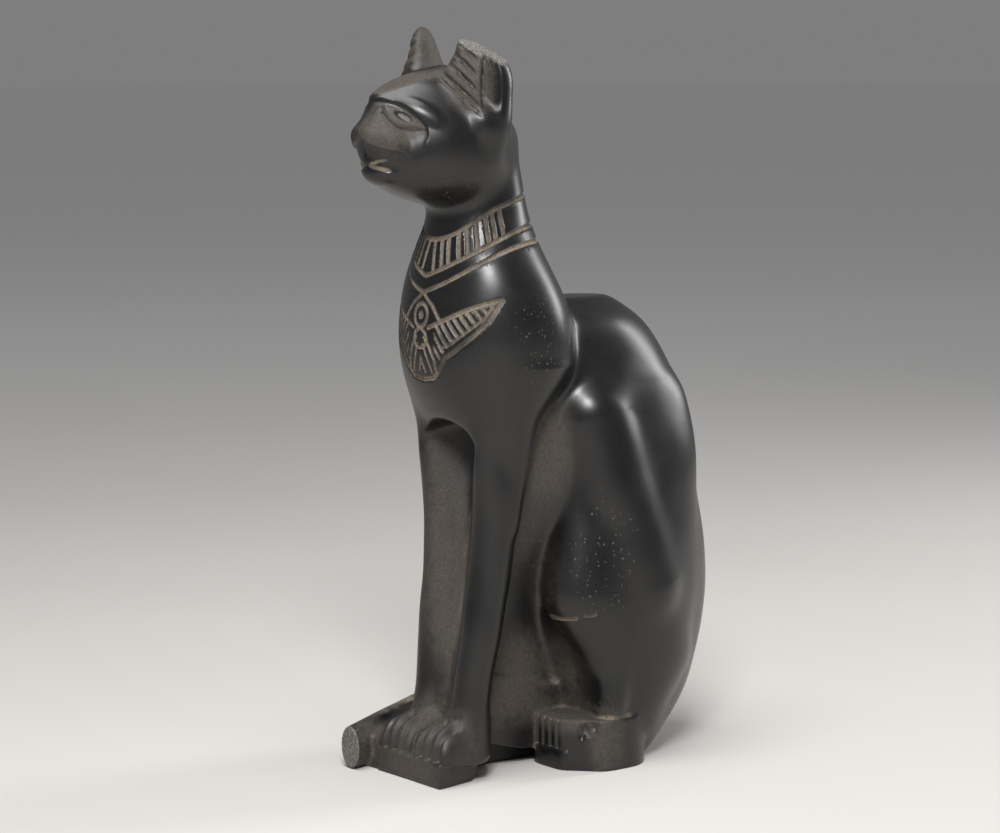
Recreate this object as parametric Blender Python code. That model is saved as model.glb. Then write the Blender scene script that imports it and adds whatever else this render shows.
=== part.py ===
"""A seated cat goddess carved from one block of black stone.

The block-out is lofted from a few tables of stations, a voxel remesh makes it one skin, and
the skin is then worked down onto the finished form, with its blends and its carved lines.
Figures of form are in parts, of which the statue is PARTS high: x to the cat's left, y to its
back, z up from the ground it sits on, with the cat's middle at x = 0. The finished object is
moved so that its origin is the middle of its footprint, on the ground.
"""
import bmesh
import bpy
import numpy as np
from mathutils import Matrix, Vector

HEIGHT = 0.42        # from the ground to the tip of the whole ear, metres
PARTS = 424.0        # the same height in parts
UNIT = HEIGHT / PARTS
MIDDLE = (-3.6, 25.0)  # the middle of the footprint, in parts, where the object's origin is
VOXEL = 1.4          # size of the remeshed skin's faces while it is worked, in parts
TRIANGLES = 9800     # faces of the finished solid
DETAIL = 0.03        # how much longer carved places keep their faces than plain ones
SIDES = 40           # points round a lofted mass
GROOVE = 1.4         # half width of a main carved line, in parts
TOE = 8.0            # width of a fore toe, in parts
CUT = 1.3            # depth of a main carved line, in parts

# Masses that stand: height, half width, front, back.
TRUNK = [
    (0, 40, 40, 91), (28, 44, 38, 120.5), (60, 47, 31, 136.5), (85, 48, 22, 143),
    (107, 49, 18, 144), (150, 48, 11, 137), (175, 47.5, 6.5, 130), (200, 46, 2, 123.5),
    (225, 42, 0, 118),
    (245, 36, 2, 107), (258, 28, 8, 95), (270, 14, 22, 77),
]
CHEST = [
    (140, 33, -27, -6), (162, 36, -29, 0), (184, 40, -33, 5), (206, 45, -44, 13),
    (228, 50, -54, 34), (248, 52, -57, 37), (266, 51, -56, 33), (286, 45, -52.5, 24),
    (300, 38, -49, 17.5), (319, 29, -44.5, 12), (340, 27, -44, 7.5), (372, 25, -40, 0),
]
# Limbs that stand, on the left: height, x, y, half width, half depth.
THIGH = [
    (14, 34, 62, 17, 22), (35, 36, 65, 18, 26), (58, 38, 69, 20, 36), (74, 37, 65, 23, 41),
    (90, 35, 61, 25.5, 49), (120, 33, 62, 26, 50), (150, 31, 67, 24, 48),
    (185, 30, 74, 19, 44), (222, 27, 80, 11, 30),
]
FORELEG = [
    (10, 17, -39, 12.5, 15), (30, 17, -36.5, 11.5, 13), (50, 17.3, -34, 11, 11.2),
    (75, 19.2, -30.6, 11.5, 11.5), (115, 20.4, -24.4, 12.6, 12.6), (160, 22.5, -22, 13, 13.5),
    (200, 23.5, -21.5, 14, 17), (235, 34, -6, 16, 24),
]
# The floor of the bay between the forelegs: height, y.
BAY = [
    (30, -42), (45, -39), (67, -35), (84, -30), (123, -24.5), (150, -20), (172, -14), (205, -8),
]
HAUNCH = [(30, 40, 205), (37, 52, 160), (43, 68, 105)]
SHANK = [(46, 62, 136), (46.5, 52, 84), (45.5, 45, 37)]
# The fold under the knee, seen from the side: y, height.
KNEE_FOLD = [(8.4, 91.5), (12.5, 90), (17.5, 90.5), (21.6, 93), (24, 91.5), (26.1, 93)]
HOCK_FOLD = [(52, 38, 42), (54, 40, 35.5), (55.5, 44, 33), (56.5, 48.5, 35), (57, 51, 41)]
EAR = [
    (350, 27, -33, 8, 6), (370, 27, -34, 16.5, 11), (385, 25.5, -35.5, 19.2, 11.5),
    (398, 25, -35.3, 18.8, 11.5), (410, 25.5, -34.8, 13, 8), (420, 25.5, -35.5, 7.5, 4.8),
    (424, 25.5, -35.5, 2, 2),
]
EAR_TURN = 56.5      # how far an ear's opening faces outwards from straight ahead, degrees
# The head lies front to back: y, half width, bottom, widest level, top.
HEAD = [
    (-96.5, 8, 354, 362, 370), (-91, 13.5, 344, 360, 379), (-83, 19, 337, 359, 391),
    (-73, 26, 332, 359, 398), (-60, 33, 327.5, 360, 402), (-42, 36.5, 325, 361, 403),
    (-26, 35.5, 328, 362, 398), (-13, 27, 336, 362, 387), (-3, 14, 350, 362, 372),
]
# The tail from the rump round the right side to its broken tip: x, y, z, half height.
TAIL = [
    (0, 138, 126, 12), (0, 138, 80, 12), (0, 123, 40, 12), (-6, 99, 15, 13),
    (-32, 85, 15, 15), (-54, 64, 15, 15), (-60, 30, 16, 16), (-57, -10, 17.5, 17.5),
    (-50.5, -45, 15, 15), (-42.5, -79, 12, 12),
]
TAIL_HALF = 8.5      # half the tail's thickness
TIP = -76.0          # where the tail is broken off
# Lines drawn on the neck and breast: degrees round from the front, height.
RINGS = [
    [(0, 306), (16, 307.5), (35, 313), (53, 320), (78, 325.5), (112, 329.5), (180, 333)],
    [(0, 286), (21, 291.5), (42, 298.5), (67, 306.5), (85, 310.5), (118, 313.5), (180, 316)],
    [(0, 277), (18, 281.6), (42, 290.5), (70, 300), (86, 303), (125, 305), (180, 306)],
]
NECK_Y = -12.0       # the axis the degrees are counted round
WING_TOP = [(9, 257.5), (24, 262.5), (40, 268), (53, 272), (65, 274.5)]
WING_LOW = [
    (65, 274.5), (56.5, 263.4), (46.5, 254.5), (32, 245), (25, 241.5), (20, 235), (12, 229.5),
    (0, 228),
]
WING_BAND = [(59, 271), (52, 263.5), (43, 257.5), (30, 249.5), (22, 247)]
CORD = [(0, 277), (5, 274), (12, 270), (19, 263)]
FAN_SIDE = [(5, 252), (10, 247), (14.5, 240), (16, 232)]
# The eye's own plane: its middle, its long axis and the way it faces.
EYE = np.array((20.5, -81.5, 374.3))
EYE_LONG = np.array((0.655, 0.582, -0.484))
EYE_FACE = np.array((0.70, -0.66, 0.22))
LID_TOP = [(-24, -1), (-14.4, 3.7), (-5, 5), (6.5, 4.8), (13.2, 1.3), (17, -3)]
LID_LOW = [(-15, 3), (-7, -7.2), (0, -8.6), (8.4, -4.9), (13.2, 1.2)]


def spline(at, xs, ys):
    """Natural cubic spline through the points (xs, ys), held level past its two ends."""
    xs = np.asarray(xs, float)
    ys = np.asarray(ys, float)
    count = len(xs)
    gap = np.diff(xs)
    matrix = np.eye(count)
    side = np.zeros(count)
    for i in range(1, count - 1):
        matrix[i, i - 1:i + 2] = gap[i - 1], 2 * (gap[i - 1] + gap[i]), gap[i]
        side[i] = 6 * ((ys[i + 1] - ys[i]) / gap[i] - (ys[i] - ys[i - 1]) / gap[i - 1])
    bend = np.linalg.solve(matrix, side)
    at = np.clip(at, xs[0], xs[-1])
    i = np.clip(np.searchsorted(xs, at, side="right") - 1, 0, count - 2)
    a = xs[i + 1] - at
    b = at - xs[i]
    h = gap[i]
    cubic = (bend[i] * a ** 3 + bend[i + 1] * b ** 3) / (6 * h)
    return cubic + (ys[i] / h - bend[i] * h / 6) * a + (ys[i + 1] / h - bend[i + 1] * h / 6) * b


def along(at, table):
    """The other columns of a station table at the places at along its first column."""
    table = np.array(table, float)
    return [spline(at, table[:, 0], table[:, k]) for k in range(1, table.shape[1])]


def ease(a, low, high):
    """A step from 0 to 1 between low and high, level at both ends."""
    t = np.clip((a - low) / (high - low), 0, 1)
    return t * t * (3 - 2 * t)


def melt(a, b, k):
    """Union of two distances, run together where they differ by less than k."""
    h = np.maximum(k - np.abs(a - b), 0) / k
    return np.minimum(a, b) - h * h * h * k / 6


def pare(a, b, k):
    """Mass a with mass b taken out of it, the edge rounded over k."""
    return -melt(-a, b, k)


def within(a, b, k):
    """What masses a and b share, the edge rounded over k."""
    return -melt(-a, -b, k)


def trench(d, half, deep):
    """Depth of a carved line with a round bottom, at distance d from its middle."""
    return deep * np.clip(1 - (d / half) ** 2, 0, 1) ** 0.8


def mirrored(p):
    """Points with both sides of the cat folded onto its left."""
    m = p.copy()
    m[:, 0] = np.abs(m[:, 0])
    return m


def section(u, v, half_u, half_v, power):
    """Distance from a superellipse, measured along the ray from its middle."""
    reach = np.hypot(u, v) + 1e-9
    size = (np.abs(u / half_u) ** power + np.abs(v / half_v) ** power) ** (1 / power) + 1e-9
    return reach - reach / size


def slab(a, table):
    """Distance past either end of a station table."""
    return np.abs(a - (table[0][0] + table[-1][0]) / 2) - (table[-1][0] - table[0][0]) / 2


def column(p, table, power, cap):
    """A standing mass on the cat's middle."""
    wide, front, back = along(p[:, 2], table)
    side = section(p[:, 0], p[:, 1] - (front + back) / 2, wide, (back - front) / 2, power)
    return within(side, slab(p[:, 2], table), cap)


def limb(p, table, power, cap):
    """A standing limb, off the cat's middle."""
    x, y, wide, deep = along(p[:, 2], table)
    side = section(p[:, 0] - x, p[:, 1] - y, wide, deep, power)
    return within(side, slab(p[:, 2], table), cap)


def ball(p, centre, radii):
    """Distance from an ellipsoid, true near its surface."""
    q = (p - np.array(centre)) / np.array(radii)
    far = np.sqrt((q * q).sum(1)) + 1e-9
    steep = np.sqrt(((q / np.array(radii)) ** 2).sum(1)) + 1e-9
    return far * (far - 1) / steep


def box(p, low, high, edge):
    """Distance from a block between two corners, its edges rounded to the radius edge."""
    low = np.array(low, float)
    high = np.array(high, float)
    q = np.abs(p - (low + high) / 2) - (high - low) / 2 + edge
    return np.linalg.norm(np.maximum(q, 0), axis=1) + np.minimum(q.max(1), 0) - edge


def line_space(p, points):
    """Distance from a line drawn through points in space."""
    best = np.full(len(p), 1e9)
    for a, b in zip(points[:-1], points[1:]):
        a = np.array(a, float)
        step = np.array(b, float) - a
        k = np.clip((p - a) @ step / (step @ step), 0, 1)
        best = np.minimum(best, ((p - a - k[:, None] * step) ** 2).sum(1))
    return np.sqrt(best)


def line_round(a, z, r, points):
    """Distance from a line drawn on the breast, a being the arc from its middle."""
    best = np.full(len(a), 1e9)
    turned = [(np.radians(t), h) for t, h in points]
    for (t0, h0), (t1, h1) in zip(turned[:-1], turned[1:]):
        du = (t1 - t0) * r
        dv = h1 - h0
        u = a - t0 * r
        v = z - h0
        k = np.clip((u * du + v * dv) / (du * du + dv * dv), 0, 1)
        best = np.minimum(best, (u - k * du) ** 2 + (v - k * dv) ** 2)
    return np.sqrt(best)


def body_field(p):
    """Trunk and thighs, the haunch's and shank's ridges, and the lines under knee and hock."""
    m = mirrored(p)
    form = melt(column(p, TRUNK, 2.1, 6), limb(m, THIGH, 2.1, 20), 16)
    form = melt(form, line_space(m, HAUNCH) - 22.5, 14)
    form = melt(form, line_space(m, SHANK) - 9.5, 8)
    flat = m * np.array((0, 1, 1))
    knee = [(0, y, z) for y, z in KNEE_FOLD]
    knee = np.minimum(line_space(flat, knee[:3]), line_space(flat, knee[3:]))
    hock = line_space(m, HOCK_FOLD)
    return form + trench(knee, 1.2, 1.0) * (m[:, 0] > 24) + trench(hock, 1.2, 0.9)


def chest_field(p):
    """Chest, neck and forelegs, with the V-shaped bay between the legs cut out."""
    m = mirrored(p)
    z = p[:, 2]
    form = melt(column(p, CHEST, 2.1, 12), limb(m, FORELEG, 2.0, 6), 9)
    x, y, wide, deep = along(z, FORELEG)
    between = np.maximum(m[:, 0] - x, np.abs(p[:, 1] - y) - 6)
    form = melt(form, np.maximum(between, np.abs(z - 112) - 100), 4)
    (floor,) = along(z, BAY)
    sides = 0.616 * (p[:, 1] - floor) + 0.788 * (np.hypot(m[:, 0], 3.0) - 3.0)
    arch = within(sides, z - 204 + 0.018 * m[:, 0] ** 2, 8)
    return pare(form, arch, 7)


def web_field(p):
    """Stone left between leg and thigh, thin low down but for a ledge, and the tail's ledges."""
    z = p[:, 2]
    y = p[:, 1]
    high = np.clip(18 + (y + 22) * 0.413, 12, 35)
    wide = 6.5 + (high - 6.5) * ease(z, 72, 168)
    side = (np.abs(p[:, 0]) - wide) * 0.9
    rear = within(y - 60, z - 226, 14)
    front = spline(z, [50, 115, 160, 200], [-28, -20, -16, -10]) - y
    wedge = within(within(side, rear, 3), front, 3)
    crest = spline(y, [-30, -12, 10, 20, 40], [60, 55, 49, 46, 43])
    low = within(np.abs(p[:, 0]) - 9.5, (z - crest) * 0.96, 3)
    low = within(low, np.abs(y - 5.5) - 34.5, 3)
    web = melt(wedge, low, 9)
    lift = spline(y, [-30, -19, 12, 30], [18, 16.5, 9.5, 9])
    ledge = box(p, (-58, -34, -4), (-4, 60, 17), 2)
    beside = box(p, (-50, -64, -4), (-27, -16, 40), 2)
    beside = within(beside, (z - 19) * 0.94 - (p[:, 1] + 64) * 0.34, 3)
    return melt(within(web, lift - z, 1.5), np.minimum(ledge, beside), 2)


def knocked_scoop(p):
    """A slanting oval that was knocked off the near hind foot's corner."""
    q = p - np.array((49.0, 25.0, 24.5))
    length = q @ np.array((0.585, 0.573, 0.574))
    width = q @ np.array((-0.41, -0.40, 0.82))
    depth = q @ np.array((0.70, -0.714, 0.0))
    return ball(np.stack([length, width, depth], 1), (0, 0, 0), (10.0, 6.0, 6.5))


def foot_field(p):
    """Fore paws on their block, and the hind feet, with their toes."""
    m = mirrored(p)
    x, y, z = m.T
    block = box(p, (-31, -65, 0), (28.5, -24, 14), 1.5)
    block = within(block, (p[:, 0] - 28) * 0.98 + (p[:, 1] + 62) * 0.2, 1.5)
    block = within(block, (p[:, 1] + 38) * 0.87 - z * 0.5, 1.5)
    top = spline(y, [-66, -61, -52, -42, -28], [22, 29, 34, 39, 52])
    wide = spline(y, [-66, -61, -52, -42, -28], [14, 15, 15, 13.5, 11.5])
    wide = wide + np.where(p[:, 0] < 0, 1.0, 0.0)
    paw = section(x - wide - 0.2, z - 13, wide, top - 13, 2.8)
    paw = within(paw, np.abs(y + 44) - 20.3, 6)
    paw = np.maximum(paw, 13 - z)
    toe = np.abs((x + TOE / 2) % TOE - TOE / 2)
    reach = np.clip((-46 - y) / 6, 0, 1) * np.clip((z - 13.5) / 1.5, 0, 1) * (x < TOE * 3.5)
    paw = paw + trench(toe, 2.2, 2.8) * reach + trench(x, 1.8, 2.5) * np.clip((-36 - y) / 6, 0, 1)
    ahead = y < 52
    hind = section(x - 28.5, y - 52, 25.5, np.where(ahead, 35.0, 24.5), np.where(ahead, 5.5, 2.1))
    hind = within(hind, (x - 37.5) * 0.7 - (y - 19.5) * 0.714, 5)
    hind = within(hind, np.abs(z - 12.5) - 17.5, 4)
    claw = np.minimum.reduce([np.abs(x - k) for k in (13, 19, 25, 31)])
    hind = hind + trench(claw, 1.3, 1.6) * np.clip((27 - y) / 5, 0, 1) * (z > 12)
    hind = hind + trench(z - 12, 0.9, 0.6) * (y < 24) * (x < 38)
    hind = pare(hind, knocked_scoop(p), 1.0)
    return np.minimum(melt(block, paw, 2), hind)


def tail_route():
    """Points along the tail's middle line, each with the half height there."""
    route = np.array(TAIL, float)
    fine = np.linspace(0, len(route) - 1, 40)
    return np.stack([spline(fine, np.arange(len(route)), route[:, k]) for k in range(4)], 1)


def tail_field(p):
    """The tail, taller than it is thick, ending in a flat break."""
    out = np.full(len(p), 60.0)
    near = (p[:, 2] < 140) & ((p[:, 0] < 12) | (p[:, 1] > 60))
    q = p[near]
    best = np.full(len(q), 1e9)
    line = tail_route()
    for a, b in zip(line[:-1], line[1:]):
        step = b[:3] - a[:3]
        k = np.clip((q - a[:3]) @ step / (step @ step), 0, 1)
        gap = q - a[:3] - k[:, None] * step
        tall = TAIL_HALF / (a[3] + k * (b[3] - a[3]))
        best = np.minimum(best, gap[:, 0] ** 2 + gap[:, 1] ** 2 + (gap[:, 2] * tall) ** 2)
    out[near] = within(np.sqrt(best) - TAIL_HALF, TIP - q[:, 1], 1.5)
    return out


def head_field(p):
    """The head: flat brow, eyes under their lids, muzzle, mouth and chin."""
    m = mirrored(p)
    x, y, z = m.T
    wide, low, mid, high = along(y, HEAD)
    v = z - mid
    up = v > 0
    form = section(x, v, wide, np.where(up, high - mid, mid - low), np.where(up, 1.65, 2.2))
    form = within(form, slab(y, HEAD), 5)
    form = within(form, (y + 55) * -0.303 + (z - 398.3) * 0.953, 1.0)
    turn = np.radians(38)
    q = m - np.array((8.5, -87, 360.5))
    cheek = np.stack([
        np.cos(turn) * q[:, 0] + np.sin(turn) * q[:, 1],
        np.cos(turn) * q[:, 1] - np.sin(turn) * q[:, 0],
        q[:, 2],
    ], 1)
    form = melt(form, ball(cheek, (0, 0, 0), (12.5, 8.5, 7.0)), 9)
    form = melt(form, ball(p, (0, -82.5, 345), (12, 10, 8)), 4)
    face = EYE_FACE - (EYE_FACE @ EYE_LONG) * EYE_LONG
    face = face / np.linalg.norm(face)
    rise = np.cross(EYE_LONG, face)
    rise = rise * np.sign(rise[2])
    q = m - EYE
    a = q @ EYE_LONG
    b = q @ rise
    close = np.clip((q @ face + 9) / 4, 0, 1)
    form = form - close * 1.9 * np.clip(1 - ((a - 4) / 14) ** 2 - ((b - 8.2) / 5.5) ** 2, 0, 1)
    top = spline(a, *np.array(LID_TOP, float).T)
    bottom = spline(a, *np.array(LID_LOW, float).T)
    socket = ease(top - b, -1.3, 2.0) * (1 - ease(top - b, 11, 21))
    socket = socket * (1 - ease(a, 12, 17)) * ease(a, -32, -20)
    form = form + close * 2.7 * socket
    inside = np.minimum(top - b, b - bottom)
    form = form - close * 1.5 * ease(inside, 0.4, 4.4) * (1 - ease(np.abs(a + 1), 11, 15))
    lid = np.abs(b - bottom) + 3 * ease(np.abs(a + 1), 11, 15)
    form = form + close * trench(lid, 1.7, 0.8)
    pupil = 1 - ((a + 0.5) / 8.2) ** 2 - ((b - 0.2 - a * 0.12) / 2.7) ** 2
    form = form + close * 1.3 * ease(pupil, 0, 0.8)
    under = 361 - 0.45 * x - z
    form = form + 1.8 * ease(under, -0.5, 1.2) * (1 - ease(under, 5, 9)) * ease(-y, 76, 84)
    lip = line_space(m, [(1, -94, 348.3), (9, -91, 350.5), (16.5, -86, 351.3)])
    form = form + trench(lip, 1.7, 1.4)
    lip = line_space(m, [(1, -94, 348.3), (9, -89.5, 346.5), (17.5, -82.5, 345)])
    return form + trench(lip, 1.9, 1.5)


def ear_field(m, left):
    """A cupped ear with ribs inside it; the left one is snapped off above them."""
    z = m[:, 2]
    x, y, wide, thick = along(z, EAR)
    c = np.cos(np.radians(EAR_TURN))
    s = np.sin(np.radians(EAR_TURN))
    u = (m[:, 0] - x) * c + (m[:, 1] - y) * s
    t = (m[:, 0] - x) * s - (m[:, 1] - y) * c
    ends = slab(z, EAR)
    solid = within(section(u, t, wide, thick, 2.0), ends, 3)
    hollow = section(u - 0.5, t - thick * 1.75, wide - 3.5, thick * 1.5, 2.0)
    hollow = within(hollow, 374 - z - u * 0.2, 16)
    cup = pare(solid, hollow, 5)
    cup = melt(cup, ball(m, (33.0, -37.0, 371.0), (8.0, 9.0, 9.5)), 6)
    rank = z - 396 + 0.95 * (u + 21.5)
    fill = np.maximum(section(u, t, wide - 0.3, thick - 1.0, 2.0), np.maximum(u - 1.5, -rank))
    step = np.minimum.reduce([np.abs(rank - k) for k in (4.5, 12.5, 20.5, 28.5, 36)])
    fill = within(fill, ends, 3) + trench(step, 2.2, 2.4)
    form = melt(cup, fill, 0.8)
    form = form + trench(step, 2.0, 1.3) * (u < -6) * ease(t, 0, 3) * (rank > 2)
    form = form + trench(rank, 1.8, 1.3) * (np.abs(u + 8) < 14) * (t > 0)
    snap = (m - np.array((20, -40, 415.5))) @ np.array((0.487, 0.11, 0.866))
    return np.where(left, within(form, snap, 0.8), form)


def jewel_field(p):
    """Depth of the carved collar and winged pectoral."""
    out = np.zeros(len(p))
    near = (p[:, 2] > 222) & (p[:, 2] < 338)
    x, y, z = p[near].T
    r = np.hypot(x, y - NECK_Y) + 1e-6
    turn = np.degrees(np.arctan2(np.abs(x), NECK_Y - y))
    level = [spline(turn, *np.array(ring, float).T) for ring in RINGS]
    cut = np.zeros(len(x))
    for ring in level:
        cut = np.maximum(cut, trench((z - ring) * 0.93, GROOVE, CUT))
    leaf = np.abs((turn + 3.5 + (z - 305) * 0.12) % 7 - 3.5) * np.radians(1) * r
    rows = (z < level[0]) & (z > level[1] + 1.5) & (turn < 100)
    cut = np.maximum(cut, trench(leaf, 1.05, 0.9) * rows)
    front = (y < 0) & (z < 285)
    turn = turn[front]
    z = z[front]
    r = r[front]
    a = np.radians(turn) * r
    edge = np.minimum(line_round(a, z, r, WING_TOP), line_round(a, z, r, WING_LOW))
    c = trench(edge, GROOVE, CUT)
    c = np.maximum(c, trench(line_round(a, z, r, CORD), 1.2, 1.1))
    c = np.maximum(c, trench(line_round(a, z, r, WING_BAND), 0.9, 0.9))
    top = np.interp(turn, *np.array(WING_TOP).T)
    low = np.interp(turn, *np.array(WING_LOW[:6][::-1]).T)
    inner = (z < top) & (z > low + 4.5) & (turn > 15) & (turn < 62)
    plume = np.abs((turn + (z - 260) * 0.9 + 2.2) % 4.4 - 2.2) * np.radians(0.8) * r
    c = np.maximum(c, trench(plume, 0.85, 0.8) * inner)
    oval = np.abs(np.hypot(a / 7.5, (z - 261.5) / 9.5) - 1) * 8
    c = np.maximum(c, trench(oval, 1.3, 1.2))
    wings = trench(z - 264, 0.9, 0.8) * (a < 7) + trench(a, 0.9, 0.8) * ((z < 264) & (z > 252))
    c = np.maximum(c, wings)
    fan = np.abs((turn + (z - 240) * 0.35 + 1.9) % 3.8 - 1.9) * np.radians(1) * r
    c = np.maximum(c, trench(fan, 0.8, 0.8) * ((z < 249) & (z > 230) & (turn < 11 + (249 - z) / 2)))
    c = np.maximum(c, trench(line_round(a, z, r, FAN_SIDE), 1.1, 1.0))
    cut[front] = np.maximum(cut[front], c)
    out[near] = cut
    return out


def statue_field(p):
    """Signed distance, in parts, from the finished surface: negative inside the stone."""
    m = mirrored(p)
    form = melt(body_field(p), chest_field(p), 14)
    form = melt(form, head_field(p), 14) + jewel_field(p)
    high = m[:, 2] > 342
    if high.any():
        form[high] = melt(form[high], ear_field(m[high], p[high, 0] > 0), 3)
    form = melt(form, web_field(p), 7)
    form = melt(form, foot_field(p), 4)
    form = melt(form, tail_field(p), 4)
    return within(form, -p[:, 2], 1.0)


def slope_of(p, value, step=0.4):
    """Gradient of the statue's field by forward differences."""
    out = np.empty_like(p)
    for k in range(3):
        q = p.copy()
        q[:, k] += step
        out[:, k] = (statue_field(q) - value) / step
    return out


def settle(p, rounds, reach):
    """Move points down the field's slope onto its surface, at most reach at a time."""
    for _ in range(rounds):
        value = statue_field(p)
        slope = slope_of(p, value)
        steep = np.maximum((slope ** 2).sum(1), 0.25)
        p = p - (np.clip(value, -reach, reach) / steep)[:, None] * slope
    p[p[:, 2] < 0.3, 2] = 0.0
    return p


def unit_ring(power):
    """Points round a superellipse of half size 1."""
    angle = np.arange(SIDES) * (2 * np.pi / SIDES)
    c = np.cos(angle)
    s = np.sin(angle)
    size = (np.abs(c) ** power + np.abs(s) ** power) ** (-1 / power)
    return c * size, s * size


def add_loft(bm, rings):
    """Join rings of points, each an array of x, y, z, into a closed skin."""
    loops = [[bm.verts.new(point) for point in ring] for ring in rings]
    for one, two in zip(loops[:-1], loops[1:]):
        for i in range(len(one)):
            j = (i + 1) % len(one)
            bm.faces.new((one[i], one[j], two[j], two[i]))
    bm.faces.new(loops[0][::-1])
    bm.faces.new(loops[-1])


def add_column(bm, table, power=2.1, rings=24):
    """Loft a standing mass from its stations."""
    c, s = unit_ring(power)
    z = np.linspace(table[0][0], table[-1][0], rings)
    rows = []
    for level, wide, front, back in zip(z, *along(z, table)):
        y = (front + back) / 2 + s * (back - front) / 2
        rows.append(np.stack([c * wide, y, np.full(SIDES, level)], 1))
    add_loft(bm, rows)


def add_limb(bm, table, side, power=2.0, rings=20, turn=0.0):
    """Loft a standing limb on one side, its sections turned by an angle in degrees."""
    c, s = unit_ring(power)
    z = np.linspace(table[0][0], table[-1][0], rings)
    ct = np.cos(np.radians(turn))
    st = np.sin(np.radians(turn))
    rows = []
    for level, x, y, wide, deep in zip(z, *along(z, table)):
        px = x + c * wide * ct + s * deep * st
        py = y + c * wide * st - s * deep * ct
        rows.append(np.stack([side * px, py, np.full(SIDES, level)], 1))
    add_loft(bm, rows)


def add_head(bm, rings=24):
    """Loft the head from front to back, fuller below its widest level than above."""
    y = np.linspace(HEAD[0][0], HEAD[-1][0], rings)
    top_c, top_s = unit_ring(1.65)
    low_c, low_s = unit_ring(2.2)
    up = top_s > 0
    rows = []
    for place, wide, low, mid, high in zip(y, *along(y, HEAD)):
        x = np.where(up, top_c, low_c) * wide
        z = mid + np.where(up, top_s * (high - mid), low_s * (mid - low))
        rows.append(np.stack([x, np.full(SIDES, place), z], 1))
    add_loft(bm, rows)


def add_block(bm, low, high):
    """A block between two corners."""
    low = Vector(low)
    high = Vector(high)
    place = Matrix.Translation((low + high) / 2) @ Matrix.Diagonal((*(high - low), 1.0))
    bmesh.ops.create_cube(bm, size=1.0, matrix=place)


def add_tail(bm):
    """The tail as a round bevel along its route."""
    curve = bpy.data.curves.new("tail_route", "CURVE")
    curve.dimensions = "3D"
    curve.bevel_depth = 9.0
    curve.bevel_resolution = 4
    curve.use_fill_caps = True
    route = tail_route()
    path = curve.splines.new("POLY")
    path.points.add(len(route) - 1)
    for point, place in zip(path.points, route):
        point.co = (*place[:3], 1.0)
    guide = bpy.data.objects.new("tail_route", curve)
    bpy.context.collection.objects.link(guide)
    mesh = bpy.data.meshes.new_from_object(guide)
    bm.from_mesh(mesh)
    bpy.data.objects.remove(guide)
    bpy.data.curves.remove(curve)
    bpy.data.meshes.remove(mesh)


def block_out():
    """Every mass of the statue, overlapping, in one mesh."""
    bm = bmesh.new()
    add_column(bm, TRUNK)
    low_chest = [(z, wide, max(front, -14.0), back) for z, wide, front, back in CHEST[:2]]
    add_column(bm, low_chest + CHEST[2:])
    add_head(bm)
    for side in (1, -1):
        add_limb(bm, THIGH, side)
        add_limb(bm, FORELEG, side)
        add_limb(bm, EAR, side, turn=EAR_TURN)
        left, right = sorted((side * 2, side * 27))
        add_block(bm, (left, -62, 12), (right, -28, 30))
        left, right = sorted((side * 5, side * 44))
        add_block(bm, (left, 21, 0), (right, 80, 28))
    add_block(bm, (-31, -65, 0), (26, -26, 14))
    add_block(bm, (-7, -20, 14), (7, 60, 225))
    add_block(bm, (-9, -28, 18), (9, 40, 47))
    add_block(bm, (-15, -4, 125), (15, 60, 225))
    add_block(bm, (-26, 4, 160), (26, 60, 220))
    add_block(bm, (-33, 24, 160), (33, 60, 210))
    add_block(bm, (-13, -29, 14), (13, -10, 120))
    add_block(bm, (-20, -19, 110), (20, -6, 195))
    add_block(bm, (-58, -32, 0), (-5, 60, 17))
    add_block(bm, (-48, -62, 0), (-27, -30, 19))
    add_block(bm, (-52, -34, 0), (-27, -18, 30))
    add_tail(bm)
    bmesh.ops.recalc_face_normals(bm, faces=bm.faces)
    return bm


def remeshed(points, faces, voxel):
    """One closed skin round a mesh, by Blender's voxel remesh."""
    mesh = bpy.data.meshes.new("skin")
    mesh.from_pydata(points, [], faces)
    holder = bpy.data.objects.new("skin", mesh)
    bpy.context.collection.objects.link(holder)
    remesh = holder.modifiers.new("skin", "REMESH")
    remesh.mode = "VOXEL"
    remesh.voxel_size = voxel
    graph = bpy.context.evaluated_depsgraph_get()
    worked = bpy.data.meshes.new_from_object(holder.evaluated_get(graph))
    bpy.data.objects.remove(holder)
    bpy.data.meshes.remove(mesh)
    return worked


def points_of(mesh):
    """A mesh's points as an array."""
    flat = np.empty(len(mesh.vertices) * 3)
    mesh.vertices.foreach_get("co", flat)
    return flat.reshape(-1, 3)


def stone():
    """Black polished stone."""
    material = bpy.data.materials.new("black_stone")
    material.use_nodes = True
    shader = material.node_tree.nodes["Principled BSDF"]
    shader.inputs["Base Color"].default_value = (0.012, 0.012, 0.013, 1.0)
    shader.inputs["Roughness"].default_value = 0.28
    shader.inputs["Metallic"].default_value = 0.0
    material.diffuse_color = (0.012, 0.012, 0.013, 1.0)
    return material


def object_of(mesh, points):
    """The statue's object, its mesh's points put in place."""
    mesh.vertices.foreach_set("co", points.ravel())
    mesh.update()
    statue = bpy.data.objects.new("cat_statue", mesh)
    bpy.context.collection.objects.link(statue)
    return statue


def carving(p):
    """1 where the surface is carved: face, ears, collar, pectoral and toes; 0 elsewhere."""
    x, y, z = p.T
    face = (z > 340) & ((y < -62) | (z > 372))
    collar = (z > 226) & (z < 334) & (np.abs(x) < 60)
    collar = collar & (jewel_field(p) > 0.05)
    toes = (z < 34) & (z > 11) & ((y < -44) | ((y < 24) & (y > 8)))
    return (face | collar | toes).astype(float)


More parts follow.
